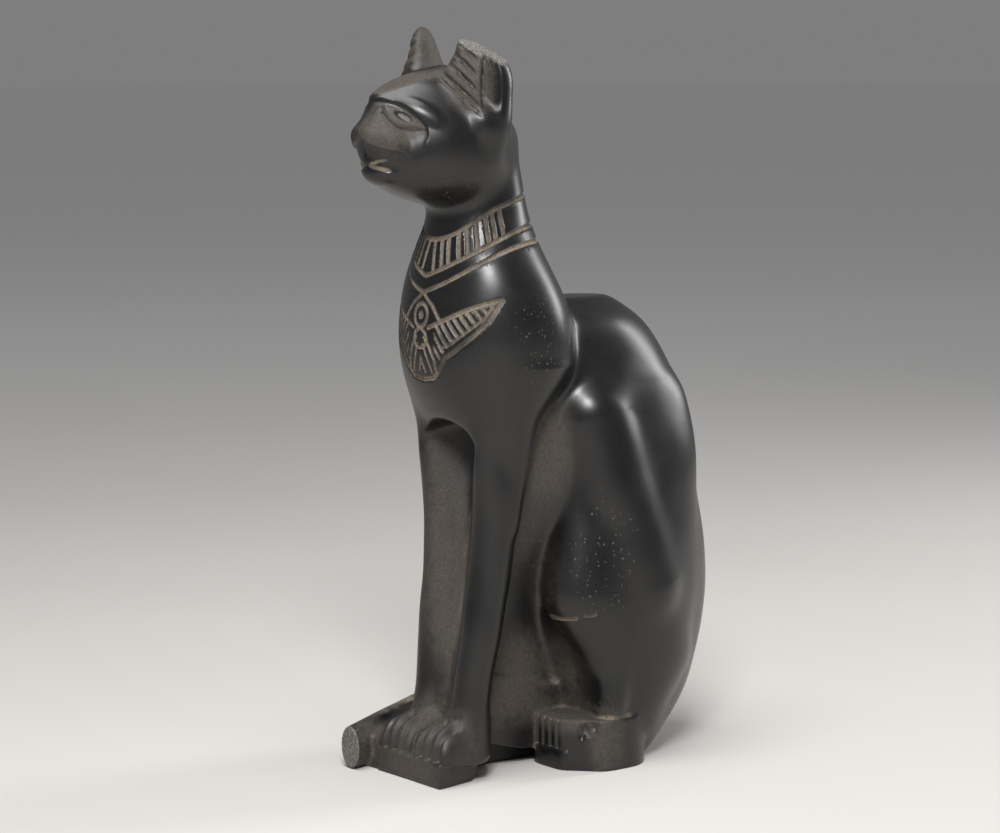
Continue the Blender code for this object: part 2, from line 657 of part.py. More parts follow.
def tidy(mesh):
    """Close up slivers that the thinning left, and keep every face a triangle."""
    bm = bmesh.new()
    bm.from_mesh(mesh)
    bmesh.ops.dissolve_degenerate(bm, dist=0.08, edges=bm.edges)
    bmesh.ops.triangulate(bm, faces=bm.faces)
    bm.to_mesh(mesh)
    bm.free()


def build():
    """Block out, remesh, settle onto the form, and thin the faces out."""
    for item in list(bpy.data.objects):
        bpy.data.objects.remove(item)
    bm = block_out()
    bm.verts.ensure_lookup_table()
    points = [tuple(v.co) for v in bm.verts]
    faces = [[v.index for v in f.verts] for f in bm.faces]
    bm.free()
    for voxel, rounds, reach in ((2.4, 5, 3.0), (VOXEL, 4, 2.0), (VOXEL, 3, 1.0)):
        mesh = remeshed(points, faces, voxel)
        points = settle(points_of(mesh), rounds, reach)
        faces = [tuple(f.vertices) for f in mesh.polygons]
    statue = object_of(mesh, points)
    plain = statue.vertex_groups.new(name="plain")
    carved = carving(points)
    plain.add(np.flatnonzero(carved < 0.5).tolist(), 1.0, "REPLACE")
    plain.add(np.flatnonzero(carved >= 0.5).tolist(), 0.5, "REPLACE")
    thin = statue.modifiers.new("facets", "DECIMATE")
    thin.ratio = TRIANGLES / (2.0 * len(mesh.polygons))
    thin.use_collapse_triangulate = True
    thin.vertex_group = plain.name
    thin.vertex_group_factor = DETAIL
    graph = bpy.context.evaluated_depsgraph_get()
    facets = bpy.data.meshes.new_from_object(statue.evaluated_get(graph))
    bpy.data.objects.remove(statue)
    bpy.data.meshes.remove(mesh)
    tidy(facets)
    points = points_of(facets)
    points[points[:, 2] < 0.1, 2] = 0.0
    points = (points - (*MIDDLE, 0.0)) * (HEIGHT / points[:, 2].max())
    statue = object_of(facets, points)
    facets.name = "cat_statue"
    facets.materials.clear()
    facets.materials.append(stone())
    facets.shade_smooth()
    facets.set_sharp_from_angle(angle=np.radians(50))
    return statue


build()
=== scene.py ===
# %% [markdown]
# # A seated cat in polished black stone
#
# The real statue is one block of hard black stone, sawn, pounded and ground to shape, then
# polished until it shines. Its collar, the winged beetle on its breast, its toes and its face
# are cut into that polish, and brown dust has settled wherever a cloth can't reach. This lesson
# rebuilds it as one skin of small triangles round a shape that is written down as formulas.

import bmesh
import bpy
import numpy as np
from mathutils import Matrix


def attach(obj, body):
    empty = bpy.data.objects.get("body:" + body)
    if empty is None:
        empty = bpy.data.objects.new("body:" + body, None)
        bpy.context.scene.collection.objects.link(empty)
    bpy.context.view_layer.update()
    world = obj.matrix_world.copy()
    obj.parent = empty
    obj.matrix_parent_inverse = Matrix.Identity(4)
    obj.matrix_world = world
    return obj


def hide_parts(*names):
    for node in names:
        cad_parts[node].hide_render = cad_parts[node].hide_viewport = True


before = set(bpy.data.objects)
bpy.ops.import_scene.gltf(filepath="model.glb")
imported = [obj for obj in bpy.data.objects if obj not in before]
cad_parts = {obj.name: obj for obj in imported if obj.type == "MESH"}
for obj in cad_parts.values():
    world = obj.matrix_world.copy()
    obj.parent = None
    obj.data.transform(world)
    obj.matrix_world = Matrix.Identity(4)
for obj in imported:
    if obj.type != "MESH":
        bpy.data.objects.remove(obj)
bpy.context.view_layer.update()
print("frame nodes:", sorted(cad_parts))

# %% [markdown]
# ## One unit for the whole figure
#
# A carver lays a figure out on a grid of its own height. Here the statue is 424 parts high, x
# runs to the cat's left, y to its back, z up, and x = 0 is the cat's middle. One part is close
# to a millimetre, so the numbers below can be read as millimetres on the real stone.

# %% Parts and metres
HEIGHT = 0.42               # from the ground to the tip of the whole ear, metres
PARTS = 424.0               # the same height in parts
UNIT = HEIGHT / PARTS
MIDDLE = (-3.6, 25.0, 0.0)  # the frame's origin, in parts: the middle of the footprint
print("one part is", round(UNIT * 1000, 3), "mm")


def to_metres(p):
    """Parts to metres in the frame: (p - MIDDLE) times UNIT."""
    return (p - np.array(MIDDLE)) * UNIT


def to_parts(p):
    """Metres in the frame to parts: p / UNIT + MIDDLE."""
    return p / UNIT + np.array(MIDDLE)


# %% [markdown]
# ## A shape as a distance
#
# A statue like this has no edges to extrude and no profile to spin: every mass flows into the
# next. A signed distance says how far a point is from the surface, negative inside the stone.
# Two masses are joined by taking the smaller distance, with the corner between them filled in
# where the two are nearly equal, which is just what a carver's rasp leaves in a hollow. Box
# modelling with subdivision could also give it, but each crease would need its own loop.

# %% Curves through stations
def spline(at, xs, ys):
    """Natural cubic spline through (xs, ys), held level past its two ends."""
    xs = np.asarray(xs, float)
    ys = np.asarray(ys, float)
    count = len(xs)
    gap = np.diff(xs)
    matrix = np.eye(count)
    side = np.zeros(count)
    for i in range(1, count - 1):
        matrix[i, i - 1:i + 2] = gap[i - 1], 2 * (gap[i - 1] + gap[i]), gap[i]
        side[i] = 6 * ((ys[i + 1] - ys[i]) / gap[i] - (ys[i] - ys[i - 1]) / gap[i - 1])
    bend = np.linalg.solve(matrix, side)
    at = np.clip(at, xs[0], xs[-1])
    i = np.clip(np.searchsorted(xs, at, side="right") - 1, 0, count - 2)
    a = xs[i + 1] - at
    b = at - xs[i]
    h = gap[i]
    cubic = (bend[i] * a ** 3 + bend[i + 1] * b ** 3) / (6 * h)
    return cubic + (ys[i] / h - bend[i] * h / 6) * a + (ys[i + 1] / h - bend[i + 1] * h / 6) * b


def along(at, table):
    """The other columns of a station table, splined at the places at along its first."""
    table = np.array(table, float)
    return [spline(at, table[:, 0], table[:, k]) for k in range(1, table.shape[1])]


def ease(a, low, high):
    """3 t^2 - 2 t^3 with t from 0 at low to 1 at high: a step that starts and ends level."""
    t = np.clip((a - low) / (high - low), 0, 1)
    return t * t * (3 - 2 * t)


print("halfway up a step:", float(ease(np.array(0.5), 0, 1)))


# %% [markdown]
# ## Joining and cutting
#
# Adding clay, paring it off and keeping what two masks share are the three things a carver's
# model needs. Blender's booleans could do each, but they leave a knife edge where two masses
# meet. Taking the smaller distance with a little less near the corner rounds that edge at once.

# %% Joining and cutting masses
def melt(a, b, k):
    """Union: the smaller of two distances, less h^3 k / 6 where they differ by under k."""
    h = np.maximum(k - np.abs(a - b), 0) / k
    return np.minimum(a, b) - h * h * h * k / 6


def pare(a, b, k):
    """Mass a with mass b taken out, the edge rounded over k."""
    return -melt(-a, b, k)


def within(a, b, k):
    """What masses a and b share, the edge rounded over k."""
    return -melt(-a, -b, k)


def trench(d, half, deep):
    """Depth at distance d from a carved line: deep (1 - q^2)^2, where q is d / (1.25 half)."""
    return deep * np.clip(1 - (d / (1.25 * half)) ** 2, 0, 1) ** 2


def mirrored(p):
    """Points with both sides of the cat folded onto its left: x becomes |x|."""
    m = p.copy()
    m[:, 0] = np.abs(m[:, 0])
    return m


def joined(form, p, where, field, k):
    """Form with another field melted in, worked out only at the points that are near it."""
    if where.any():
        form[where] = melt(form[where], field(p[where]), k)
    return form


print("two equal surfaces melt by", -round(float(melt(np.zeros(1), np.zeros(1), 6.0)[0]), 2), "parts")

# %% [markdown]
# ## A few plain masses
#
# Nearly all of the cat is made of four masses: a standing column, a standing limb, a ball and a
# block. Columns and limbs take stations at a few heights, as a boat's hull does, and curves run
# through them, so that a handful of measured numbers gives a smooth form.

# %% Simple masses
def section(u, v, half_u, half_v, power):
    """Distance along the ray from |u / half_u|^power + |v / half_v|^power = 1."""
    reach = np.hypot(u, v) + 1e-9
    size = (np.abs(u / half_u) ** power + np.abs(v / half_v) ** power) ** (1 / power) + 1e-9
    return reach - reach / size


def slab(a, table):
    """Distance past either end of a station table."""
    return np.abs(a - (table[0][0] + table[-1][0]) / 2) - (table[-1][0] - table[0][0]) / 2


def column(p, table, power, cap):
    """A standing mass on the cat's middle, from stations of height, half width, front, back."""
    wide, front, back = along(p[:, 2], table)
    side = section(p[:, 0], p[:, 1] - (front + back) / 2, wide, (back - front) / 2, power)
    return within(side, slab(p[:, 2], table), cap)


def limb(p, table, power, cap):
    """A standing limb, from stations of height, x, y, half width, half depth."""
    x, y, wide, deep = along(p[:, 2], table)
    side = section(p[:, 0] - x, p[:, 1] - y, wide, deep, power)
    return within(side, slab(p[:, 2], table), cap)


def ball(p, centre, radii):
    """Distance from an ellipsoid, true near its surface: r (r - 1) / |gradient of r|."""
    q = (p - np.array(centre)) / np.array(radii)
    far = np.sqrt((q * q).sum(1)) + 1e-9
    steep = np.sqrt(((q / np.array(radii)) ** 2).sum(1)) + 1e-9
    return far * (far - 1) / steep


def box(p, low, high, edge):
    """Distance from a block between two corners, its edges rounded to the radius edge."""
    low = np.array(low, float)
    high = np.array(high, float)
    q = np.abs(p - (low + high) / 2) - (high - low) / 2 + edge
    return np.linalg.norm(np.maximum(q, 0), axis=1) + np.minimum(q.max(1), 0) - edge


def line_space(p, points):
    """Distance from a line drawn through points in space."""
    best = np.full(len(p), 1e9)
    for a, b in zip(points[:-1], points[1:]):
        a = np.array(a, float)
        step = np.array(b, float) - a
        k = np.clip((p - a) @ step / (step @ step), 0, 1)
        best = np.minimum(best, ((p - a - k[:, None] * step) ** 2).sum(1))
    return np.sqrt(best)


def ripple(p, size, seed):
    """Uneven surface from -1 to 1: six sine waves of about the length size, in turned ways."""
    rng = np.random.default_rng(seed)
    ways = rng.normal(size=(6, 3))
    ways = ways / np.linalg.norm(ways, axis=1)[:, None] * (2 * np.pi / size)
    ways = ways * rng.uniform(0.7, 1.6, size=(6, 1))
    shift = rng.uniform(0, 2 * np.pi, 6)
    return sum(np.sin(p @ way + start) for way, start in zip(ways, shift)) / 3.0


outside = ball(np.array([[3.0, 0, 0]]), (0, 0, 0), (2, 2, 2))
print("a point one part outside a ball:", float(outside[0]))

# %% [markdown]
# ## Trunk, thighs and shanks
#
# From the side the sitting body is a tall rounded slab, with each thigh a flat oval laid on it.
# The thigh runs down to the knee, and a low ridge follows the shank back to the heel. Short
# curved cuts mark the folds under the knee and at the hock.

# %% Trunk and thighs
TRUNK = [            # height, half width, front, back
    (0, 40, 40, 91), (28, 44, 38, 120.5), (60, 47, 31, 136.5), (85, 48, 22, 143),
    (107, 49, 18, 144), (150, 48, 11, 137), (175, 47.5, 6.5, 130), (200, 46, 2, 123.5),
    (225, 42, 0, 118),
    (245, 36, 2, 107), (258, 28, 8, 95), (270, 14, 22, 77),
]
THIGH = [            # height, x, y, half width, half depth
    (14, 34, 62, 17, 22), (35, 36, 65, 18, 26), (58, 38, 69, 20, 36), (74, 37, 65, 23, 41),
    (90, 35, 61, 25.5, 49), (120, 33, 62, 26, 50), (150, 31, 67, 24, 48),
    (185, 30, 74, 19, 44), (222, 27, 80, 11, 30),
]
HAUNCH = [(14, 60, 226), (30, 42, 203), (37, 52, 160), (43, 68, 105)]
KNEE_FOLD = [(8.4, 91.5), (12.5, 90), (17.5, 90.5), (21.5, 92.6), (24, 92.3), (26.5, 93)]
KNEE_INNER = 24              # the knee's cuts stay this far out from the middle
HOCK_FOLD = [(52, 38, 42), (54, 40, 35.5), (55.5, 44, 33), (56.5, 48.5, 35), (57, 51, 41)]
SHANK = [(46, 62, 136), (46.5, 52, 84), (45.5, 45, 37)]


def knee_line(p):
    """Distance, seen from the side, from the two short cuts under the knee."""
    flat = p * np.array((0, 1, 1))
    fold = [(0, y, z) for y, z in KNEE_FOLD]
    return np.minimum(line_space(flat, fold[:3]), line_space(flat, fold[3:]))


def body_field(p):
    """Trunk and thighs melted together, with haunch and shank ridges, less the cut folds."""
    m = mirrored(p)
    form = melt(column(p, TRUNK, 2.1, 6), limb(m, THIGH, 2.1, 20), 16)
    form = melt(form, line_space(m, HAUNCH) - 22.5, 14)
    form = melt(form, line_space(m, SHANK) - 9.5, 8)
    knee = trench(knee_line(m), 1.3, 1.2) * (m[:, 0] > KNEE_INNER)
    hock = trench(line_space(m, HOCK_FOLD), 1.2, 1.0)
    return form + knee + hock


print("stations in the trunk:", len(TRUNK))

# %% [markdown]
# ## Chest and forelegs
#
# The chest is a full oval that narrows to the neck. The forelegs are round pillars that grow
# out of it, and the V-shaped bay between them is arched at its top and not cut through: a
# carver in hard stone leaves the web behind the legs standing, because freed legs would snap.

# %% Chest, forelegs and the bay between them
CHEST = [            # height, half width, front, back
    (140, 33, -27, -6), (162, 36, -29, 0), (184, 40, -33, 5), (206, 45, -44, 13),
    (228, 50, -54, 34), (248, 52, -57, 37), (266, 51, -56, 33), (286, 45, -52.5, 24),
    (300, 38, -49, 17.5), (319, 29, -44.5, 12), (340, 27, -44, 7.5), (372, 25, -40, 0),
]
FORELEG = [          # height, x, y, half width, half depth
    (10, 17, -39, 12.5, 15), (30, 17, -36.5, 11.5, 13), (50, 17.3, -34, 11, 11.2),
    (75, 19.2, -30.6, 11.5, 11.5), (115, 20.4, -24.4, 12.6, 12.6), (160, 22.5, -22, 13, 13.5),
    (200, 23.5, -21.5, 14, 17), (235, 34, -6, 16, 24),
]
BAY_SIDE = (0.616, 0.788)    # the way that each side of the bay's V faces: back, out
BAY = [                      # height, y of the bay's floor
    (30, -42), (45, -39), (67, -35), (84, -30), (123, -24.5), (150, -20), (172, -14), (205, -8),
]


def chest_field(p):
    """Chest and legs melted over 9 parts, filled between the legs, less the V-shaped bay."""
    m = mirrored(p)
    z = p[:, 2]
    form = melt(column(p, CHEST, 2.1, 12), limb(m, FORELEG, 2.0, 6), 9)
    x, y, wide, deep = along(z, FORELEG)
    between = np.maximum(m[:, 0] - x, np.abs(p[:, 1] - y) - 6)
    form = melt(form, np.maximum(between, np.abs(z - 112) - 100), 4)
    (floor,) = along(z, BAY)
    sides = BAY_SIDE[0] * (p[:, 1] - floor) + BAY_SIDE[1] * (np.hypot(m[:, 0], 3.0) - 3.0)
    arch = within(sides, z - 204 + 0.018 * m[:, 0] ** 2, 8)
    return pare(form, arch, 7)


def web_field(p):
    """Stone left between leg and thigh, thin low down but for a ledge, and the tail's ledges."""
    z = p[:, 2]
    y = p[:, 1]
    high = np.clip(18 + (y + 22) * 0.413, 12, 35 - 4 * ease(z, 180, 220))
    wide = 6.5 + (high - 6.5) * ease(z, 72, 168)
    side = (np.abs(p[:, 0]) - wide) * 0.9
    rear = within(y - 60, z - 226, 14)
    front = spline(z, [50, 115, 160, 200], [-28, -20, -16, -10]) - y
    wedge = within(within(side, rear, 3), front, 3)
    crest = spline(y, [-30, -12, 10, 20, 40], [60, 55, 49, 46, 43])
    low = within(np.abs(p[:, 0]) - 9.5, (z - crest) * 0.96, 3)
    low = within(low, np.abs(y - 5.5) - 34.5, 3)
    web = melt(wedge, low, 9)
    lift = spline(y, [-30, -19, 12, 30], [18, 16.5, 9.5, 9])
    ledge = box(p, (-58, -34, -4), (-4, 60, 17), 2)
    beside = box(p, (-50, -64, -4), (-27, -16, 40), 2)
    beside = within(beside, (z - 19) * 0.94 - (p[:, 1] + 64) * 0.34, 3)
    return melt(within(web, lift - z, 1.5), np.minimum(ledge, beside), 2)


print("stations in the bay's floor:", len(BAY))

# %% [markdown]
# ## Paws and hind feet
#
# Deep rounded cuts part the toes. The fore paws share one low block, the hind feet are square
# blocks with shallow claws, and the near one has lost a corner.

# %% Feet
TOE = 8.0                    # width of a fore toe, in parts
CLAWS = (13, 19, 25, 31)     # the cuts between the hind claws, parts from the middle


def fore_feet(p):
    """The block and the paws: a superellipse profile that rises to the leg, less the toes."""
    m = mirrored(p)
    x, y, z = m.T
    block = box(p, (-31, -65, 0), (28.5, -24, 14), 1.5)
    block = within(block, (p[:, 0] - 28) * 0.98 + (p[:, 1] + 62) * 0.2, 1.5)
    block = within(block, (p[:, 1] + 38) * 0.87 - z * 0.5, 1.5)
    top = spline(y, [-66, -61, -52, -42, -28], [22, 29, 34, 39, 52])
    wide = spline(y, [-66, -61, -52, -42, -28], [14, 15, 15, 13.5, 11.5])
    wide = wide + np.where(p[:, 0] < 0, 1.0, 0.0)
    paw = section(x - wide - 0.2, z - 13, wide, top - 13, 2.8)
    paw = within(paw, np.abs(y + 44) - 20.3, 6)
    paw = np.maximum(paw, 13 - z)
    toe = np.abs((x + TOE / 2) % TOE - TOE / 2)
    reach = np.clip((-46 - y) / 6, 0, 1) * np.clip((z - 13.5) / 1.5, 0, 1) * (x < TOE * 3.5)
    paw = paw + trench(toe, 2.2, 2.8) * reach + trench(x, 1.8, 2.5) * np.clip((-36 - y) / 6, 0, 1)
    return melt(block, paw, 2)


def hind_feet(p):
    """A block squarer in front than behind, its outer corner cut away, less the claws."""
    x, y, z = mirrored(p).T
    ahead = y < 52
    hind = section(x - 28.5, y - 52, 25.5, np.where(ahead, 35.0, 24.5), np.where(ahead, 5.5, 2.1))
    hind = within(hind, (x - 37.5) * 0.7 - (y - 19.5) * 0.714, 5)
    hind = within(hind, np.abs(z - 12.5) - 17.5, 4)
    claw = np.minimum.reduce([np.abs(x - k) for k in CLAWS])
    hind = hind + trench(claw, 1.3, 1.6) * np.clip((27 - y) / 5, 0, 1) * (z > 12)
    hind = hind + trench(z - 12, 0.9, 0.6) * (y < 24) * (x < 38)
    return pare(hind, knocked_scoop(p), 1.0)


def knocked_scoop(p):
    """A slanting oval, 20 parts long, that was knocked off the near hind foot's corner."""
    q = p - np.array((49.0, 25.0, 24.5))
    length = q @ np.array((0.585, 0.573, 0.574))
    width = q @ np.array((-0.41, -0.40, 0.82))
    depth = q @ np.array((0.70, -0.714, 0.0))
    place = np.stack([length, width, depth], 1)
    return ball(place, (0, 0, 0), (10.0, 6.0, 6.5)) + 0.5 * ripple(p, 5.0, 8)


def foot_field(p):
    """Fore and hind feet together."""
    return np.minimum(fore_feet(p), hind_feet(p))


print("fore toes are", round(TOE * UNIT * 1000, 1), "mm wide")

# %% [markdown]
# ## The tail
#
# The tail comes down the rump, turns round the right side and lies beside the fore paws, where
# it is broken off square. It is an oval carried along a curve, whose height changes on the way.
# A swept tube mesh would do as well, but a distance can be melted into the body beside it.

# %% Tail
TAIL = [             # x, y, z, half height
    (0, 138, 126, 8.5), (0, 138, 80, 8.5), (0, 123, 40, 9), (-6, 99, 15, 12),
    (-32, 85, 15, 15), (-54, 64, 15, 15), (-60, 30, 16, 16), (-57, -10, 17.5, 17.5),
    (-50.5, -45, 15, 15), (-42.5, -79, 12, 12),
]
TAIL_HALF = 8.5      # half the tail's thickness, in parts
TIP = -76.0          # where the tail is broken off


def tail_route():
    """Sixty points splined through the tail's stations: x, y, z, half height."""
    route = np.array(TAIL, float)
    fine = np.linspace(0, len(route) - 1, 60)
    return np.stack([spline(fine, np.arange(len(route)), route[:, k]) for k in range(4)], 1)


def tail_field(p):
    """Distance from the route, with heights scaled so that the section is a tall oval."""
    out = np.full(len(p), 60.0)
    near = (p[:, 0] < 12) | (p[:, 1] > 60)
    q = p[near]
    best = np.full(len(q), 1e9)
    line = tail_route()
    for a, b in zip(line[:-1], line[1:]):
        step = b[:3] - a[:3]
        k = np.clip((q - a[:3]) @ step / (step @ step), 0, 1)
        gap = q - a[:3] - k[:, None] * step
        tall = TAIL_HALF / (a[3] + k * (b[3] - a[3]))
        best = np.minimum(best, gap[:, 0] ** 2 + gap[:, 1] ** 2 + (gap[:, 2] * tall) ** 2)
    out[near] = within(np.sqrt(best) - TAIL_HALF, TIP - q[:, 1], 1.5)
    return out


print("the tail has", len(TAIL), "stations")

# %% [markdown]
# ## The head
#
# The forehead is flat and slopes forward to a broad nose. The eyes look forward and out from
# shallow hollows under the brow, each a low bulge with a cut lower lid and a sunken iris. Two
# cuts part the lips from the muzzle and from the chin. All of it is drawn on one side and
# mirrored, because a carver lays a face out from its middle line.

# %% Head, eyes and mouth
HEAD = [                  # y, half width, underside, widest height, top
    (-95.2, 8.5, 355, 365, 373), (-91, 13.5, 345, 364, 382), (-83, 19, 337, 361, 391),
    (-73, 26, 332, 359, 398), (-60, 33, 327.5, 360, 402), (-42, 36.5, 325, 361, 403),
    (-26, 35.5, 328, 362, 398), (-13, 27, 336, 362, 387), (-3, 14, 350, 362, 372),
]
EYE = np.array((20.5, -81.5, 374.3))
EYE_LONG = np.array((0.655, 0.582, -0.484))
EYE_FACE = np.array((0.70, -0.66, 0.22))
LID_TOP = [(-24, 0), (-17.5, 3), (-12.2, 4.5), (-4.4, 5.8), (3.2, 4.9), (12.6, 1.4), (17, -3)]
LID_LOW = [(-16, -2), (-8.8, -5.6), (-3.3, -7), (5.4, -4.4), (13, 0.8)]
FOREHEAD = np.array((0.0, -0.303, 0.953))


def forehead_plane(p):
    """Distance above the flat on the forehead."""
    return (p - np.array((0.0, -55.0, 398.3))) @ FOREHEAD


def skull(p, x, y, z):
    """Stations from front to back, melted with the whisker pads and the chin."""
    wide, low, mid, high = along(y, HEAD)
    v = z - mid
    up = v > 0
    form = section(x, v, wide, np.where(up, high - mid, mid - low), np.where(up, 1.65, 2.2))
    form = within(form, slab(y, HEAD), 5)
    form = within(form, forehead_plane(p), 1.0)
    turn = np.radians(38)
    q = np.stack([x - 8.5, y + 87, z - 364.0], 1)
    side = np.cos(turn) * q[:, 0] + np.sin(turn) * q[:, 1]
    ahead = np.cos(turn) * q[:, 1] - np.sin(turn) * q[:, 0]
    pad = ball(np.stack([side, ahead, q[:, 2]], 1), (0, 0, 0), (12.5, 7.6, 8.6))
    return melt(melt(form, pad, 9), ball(p, (0, -82.5, 345), (12, 10, 8)), 4)


def eye_plane(m):
    """Coordinates in the eye's own plane: a along it, b up it, and c out of it."""
    face = EYE_FACE - (EYE_FACE @ EYE_LONG) * EYE_LONG
    face = face / np.linalg.norm(face)
    rise = np.cross(EYE_LONG, face)
    rise = rise * np.sign(rise[2])
    q = m - EYE
    return q @ EYE_LONG, q @ rise, q @ face


def iris_at(a, b):
    """Above nought inside the iris, a flat oval."""
    return 1 - ((a + 1.5) / 6.6) ** 2 - ((b - 0.7) / 2.7) ** 2


def mouth_lines(m):
    """Distances from the two cuts that part the lips from the muzzle and from the chin."""
    upper = line_space(m, [(1, -94, 348.3), (9, -91, 350.5), (16.5, -86, 351.3)])
    lower = line_space(m, [(1, -94, 348.3), (9, -89.5, 346.5), (17.5, -82.5, 345)])
    return upper, lower


def head_field(p):
    """The skull with brow, socket, lids and iris added in the eye's plane, and the mouth cut."""
    m = mirrored(p)
    x, y, z = m.T
    form = skull(p, x, y, z)
    a, b, c = eye_plane(m)
    close = np.clip((c + 9) / 4, 0, 1)
    brow = np.clip(1 - ((a - 5) / 18) ** 2 - ((b - 9) / 7.5) ** 2, 0, 1)
    form = form - close * 2.2 * brow ** 1.6
    top = spline(a, *np.array(LID_TOP, float).T)
    bottom = spline(a, *np.array(LID_LOW, float).T)
    socket = ease(top - b, -1.3, 2.0) * (1 - ease(top - b, 11, 21))
    spread = np.clip(top - b - 3, 0, 12)
    socket = socket * (1 - ease(a, 12 - spread, 17 + 0.6 * spread)) * ease(a, -34, -16)
    form = form + close * 2.5 * socket
    inside = np.minimum(top - b, b - bottom)
    form = form - close * 1.5 * ease(inside, 0.4, 4.4) * (1 - ease(np.abs(a + 1), 11, 15))
    lid = np.abs(b - bottom) + 3 * ease(np.abs(a + 1), 11, 15)
    form = form + close * trench(lid, 1.7, 1.1)
    form = form + close * 1.6 * ease(iris_at(a, b), 0, 0.9)
    under = 364 - 0.45 * x - z
    form = form + 2.0 * ease(under, -0.6, 1.4) * (1 - ease(under, 9, 15)) * ease(-y, 76, 84)
    upper, lower = mouth_lines(m)
    return form + trench(upper, 1.2, 1.2) + trench(lower, 1.4, 1.4)


print("eye middle at", EYE.tolist(), "parts")

# %% [markdown]
# ## The ears
#
# Each ear is a flattened cone turned outwards, hollowed from the front. Hair is shown as a rank
# of slanting ribs that fills the inner half of the cup. The left ear is snapped off above them,
# and the break stays, because it is part of the real statue.

# %% Ears
EAR = [                   # height, x, y, half width, half thickness
    (350, 27, -33, 8, 6), (370, 27, -34, 16.5, 11), (385, 25.5, -35.5, 19.2, 11.5),
    (398, 25, -35.3, 18.8, 11.5), (410, 25.5, -34.8, 13, 8), (420, 25.5, -35.5, 7.5, 4.8),
    (424, 25.5, -35.5, 2, 2),
]
EAR_TURN = 56.5                       # how far the cup faces outwards, degrees
RIBS = (4.5, 12.5, 20.5, 28.5, 36)    # places of the cuts between ribs, in parts


def ear_break(p):
    """Distance above the plane at which the left ear is broken."""
    return (p - np.array((20, -40, 415.5))) @ np.array((0.487, 0.11, 0.866))


def ear_field(m, left):
    """An oval cone less its cup, plus ribs; the left one is cut by its break's plane."""
    z = m[:, 2]
    x, y, wide, thick = along(z, EAR)
    c = np.cos(np.radians(EAR_TURN))
    s = np.sin(np.radians(EAR_TURN))
    u = (m[:, 0] - x) * c + (m[:, 1] - y) * s
    t = (m[:, 0] - x) * s - (m[:, 1] - y) * c
    ends = slab(z, EAR)
    solid = within(section(u, t, wide, thick, 2.0), ends, 3)
    hollow = section(u - 0.5, t - thick * 1.75, wide - 3.5, thick * 1.5, 2.0)
    hollow = within(hollow, 374 - z - u * 0.2, 16)
    cup = pare(solid, hollow, 5)
    cup = melt(cup, ball(m, (32.0, -37.0, 370.0), (7.0, 8.0, 9.0)), 12)
    rank = z - 396 + 0.95 * (u + 21.5)
    fill = within(section(u, t, wide - 0.3, thick - 1.0, 2.0), u - 1.8, 3)
    fill = within(fill, -rank, 1.5)
    step = np.minimum.reduce([np.abs(rank - k) for k in RIBS])
    fill = within(fill, ends, 3) + trench(step, 2.2, 2.4) * (1 - ease(u, -4, 0))
    form = melt(cup, fill, 1.5)
    form = form + trench(step, 2.0, 1.3) * (u < -6) * ease(t, 0, 3) * (rank > 2)
    form = form + trench(rank, 1.6, 1.2) * ease(u, -24, -20) * (1 - ease(u, -4, 1)) * (t > 0)
    snap = ear_break(m) + 0.5 * ripple(m, 7.0, 3)
    return np.where(left, within(form, snap, 0.6), form)


print("ribs in each ear:", len(RIBS))

# %% [markdown]
# ## Collar and winged beetle
#
# A band of leaves between two lines goes round the neck, with a plain line under it, and a
# winged beetle hangs below, an ornament that this kind of statue has worn for thousands of
# years. They lie on a round neck and breast, so they are drawn in degrees round the neck and
# height, like a label that is unrolled from a bottle, and cut into the stone as round-bottomed
# lines. A bump map could draw them too, but it would leave the outline and the mesh plain.

# %% The drawing of the ornament
GROOVE = 1.4         # half width of a main carved line, in parts
CUT = 1.3            # depth of a main carved line, in parts
NECK_Y = -12.0       # the axis that the degrees are counted round
LEAF = 8.6           # spacing of the cuts between leaves, degrees
FEATHER = 6.4        # spacing of the cuts between feathers, degrees
FAN = 7.4            # spacing of the cuts in the beetle's tail fan, degrees
DISC_Z = 264.3       # height of the middle of the disc over the beetle
RINGS = [            # each line's height at some degrees round the neck
    [(0, 306), (16, 307.5), (35, 313), (53, 320), (78, 325.5), (112, 329.5), (180, 333)],
    [(0, 286), (21, 291.5), (42, 298.5), (67, 306.5), (85, 310.5), (118, 313.5), (180, 316)],
    [(0, 277), (18, 281.6), (42, 290.5), (70, 300), (86, 303), (125, 305), (180, 306)],
]
WING_TOP = [(9, 257.5), (24, 262.5), (40, 268), (53, 272), (65, 274.5)]
WING_LOW = [
    (65, 274.5), (56.5, 263.4), (46.5, 254.5), (32, 245), (25, 241.5), (20, 235), (12, 229.5),
    (0, 228),
]
WING_BAND = [(59, 271), (52, 263.5), (43, 257.5), (30, 249.5), (22, 247)]
CORD = [(0, 277), (5, 274), (12, 270), (19, 263)]
SHELL = [(0, 257.5), (5.5, 255), (7.5, 250.5), (4.5, 247), (0, 246)]
FAN_SIDE = [(5, 252), (10, 247), (14.5, 240), (16, 232)]


def line_round(a, z, r, points):
    """Distance from a line drawn on the breast, a being the arc from its middle."""
    best = np.full(len(a), 1e9)
    turned = [(np.radians(t), h) for t, h in points]
    for (t0, h0), (t1, h1) in zip(turned[:-1], turned[1:]):
        du = (t1 - t0) * r
        dv = h1 - h0
        u = a - t0 * r
        v = z - h0
        k = np.clip((u * du + v * dv) / (du * du + dv * dv), 0, 1)
        best = np.minimum(best, (u - k * du) ** 2 + (v - k * dv) ** 2)
    return np.sqrt(best)


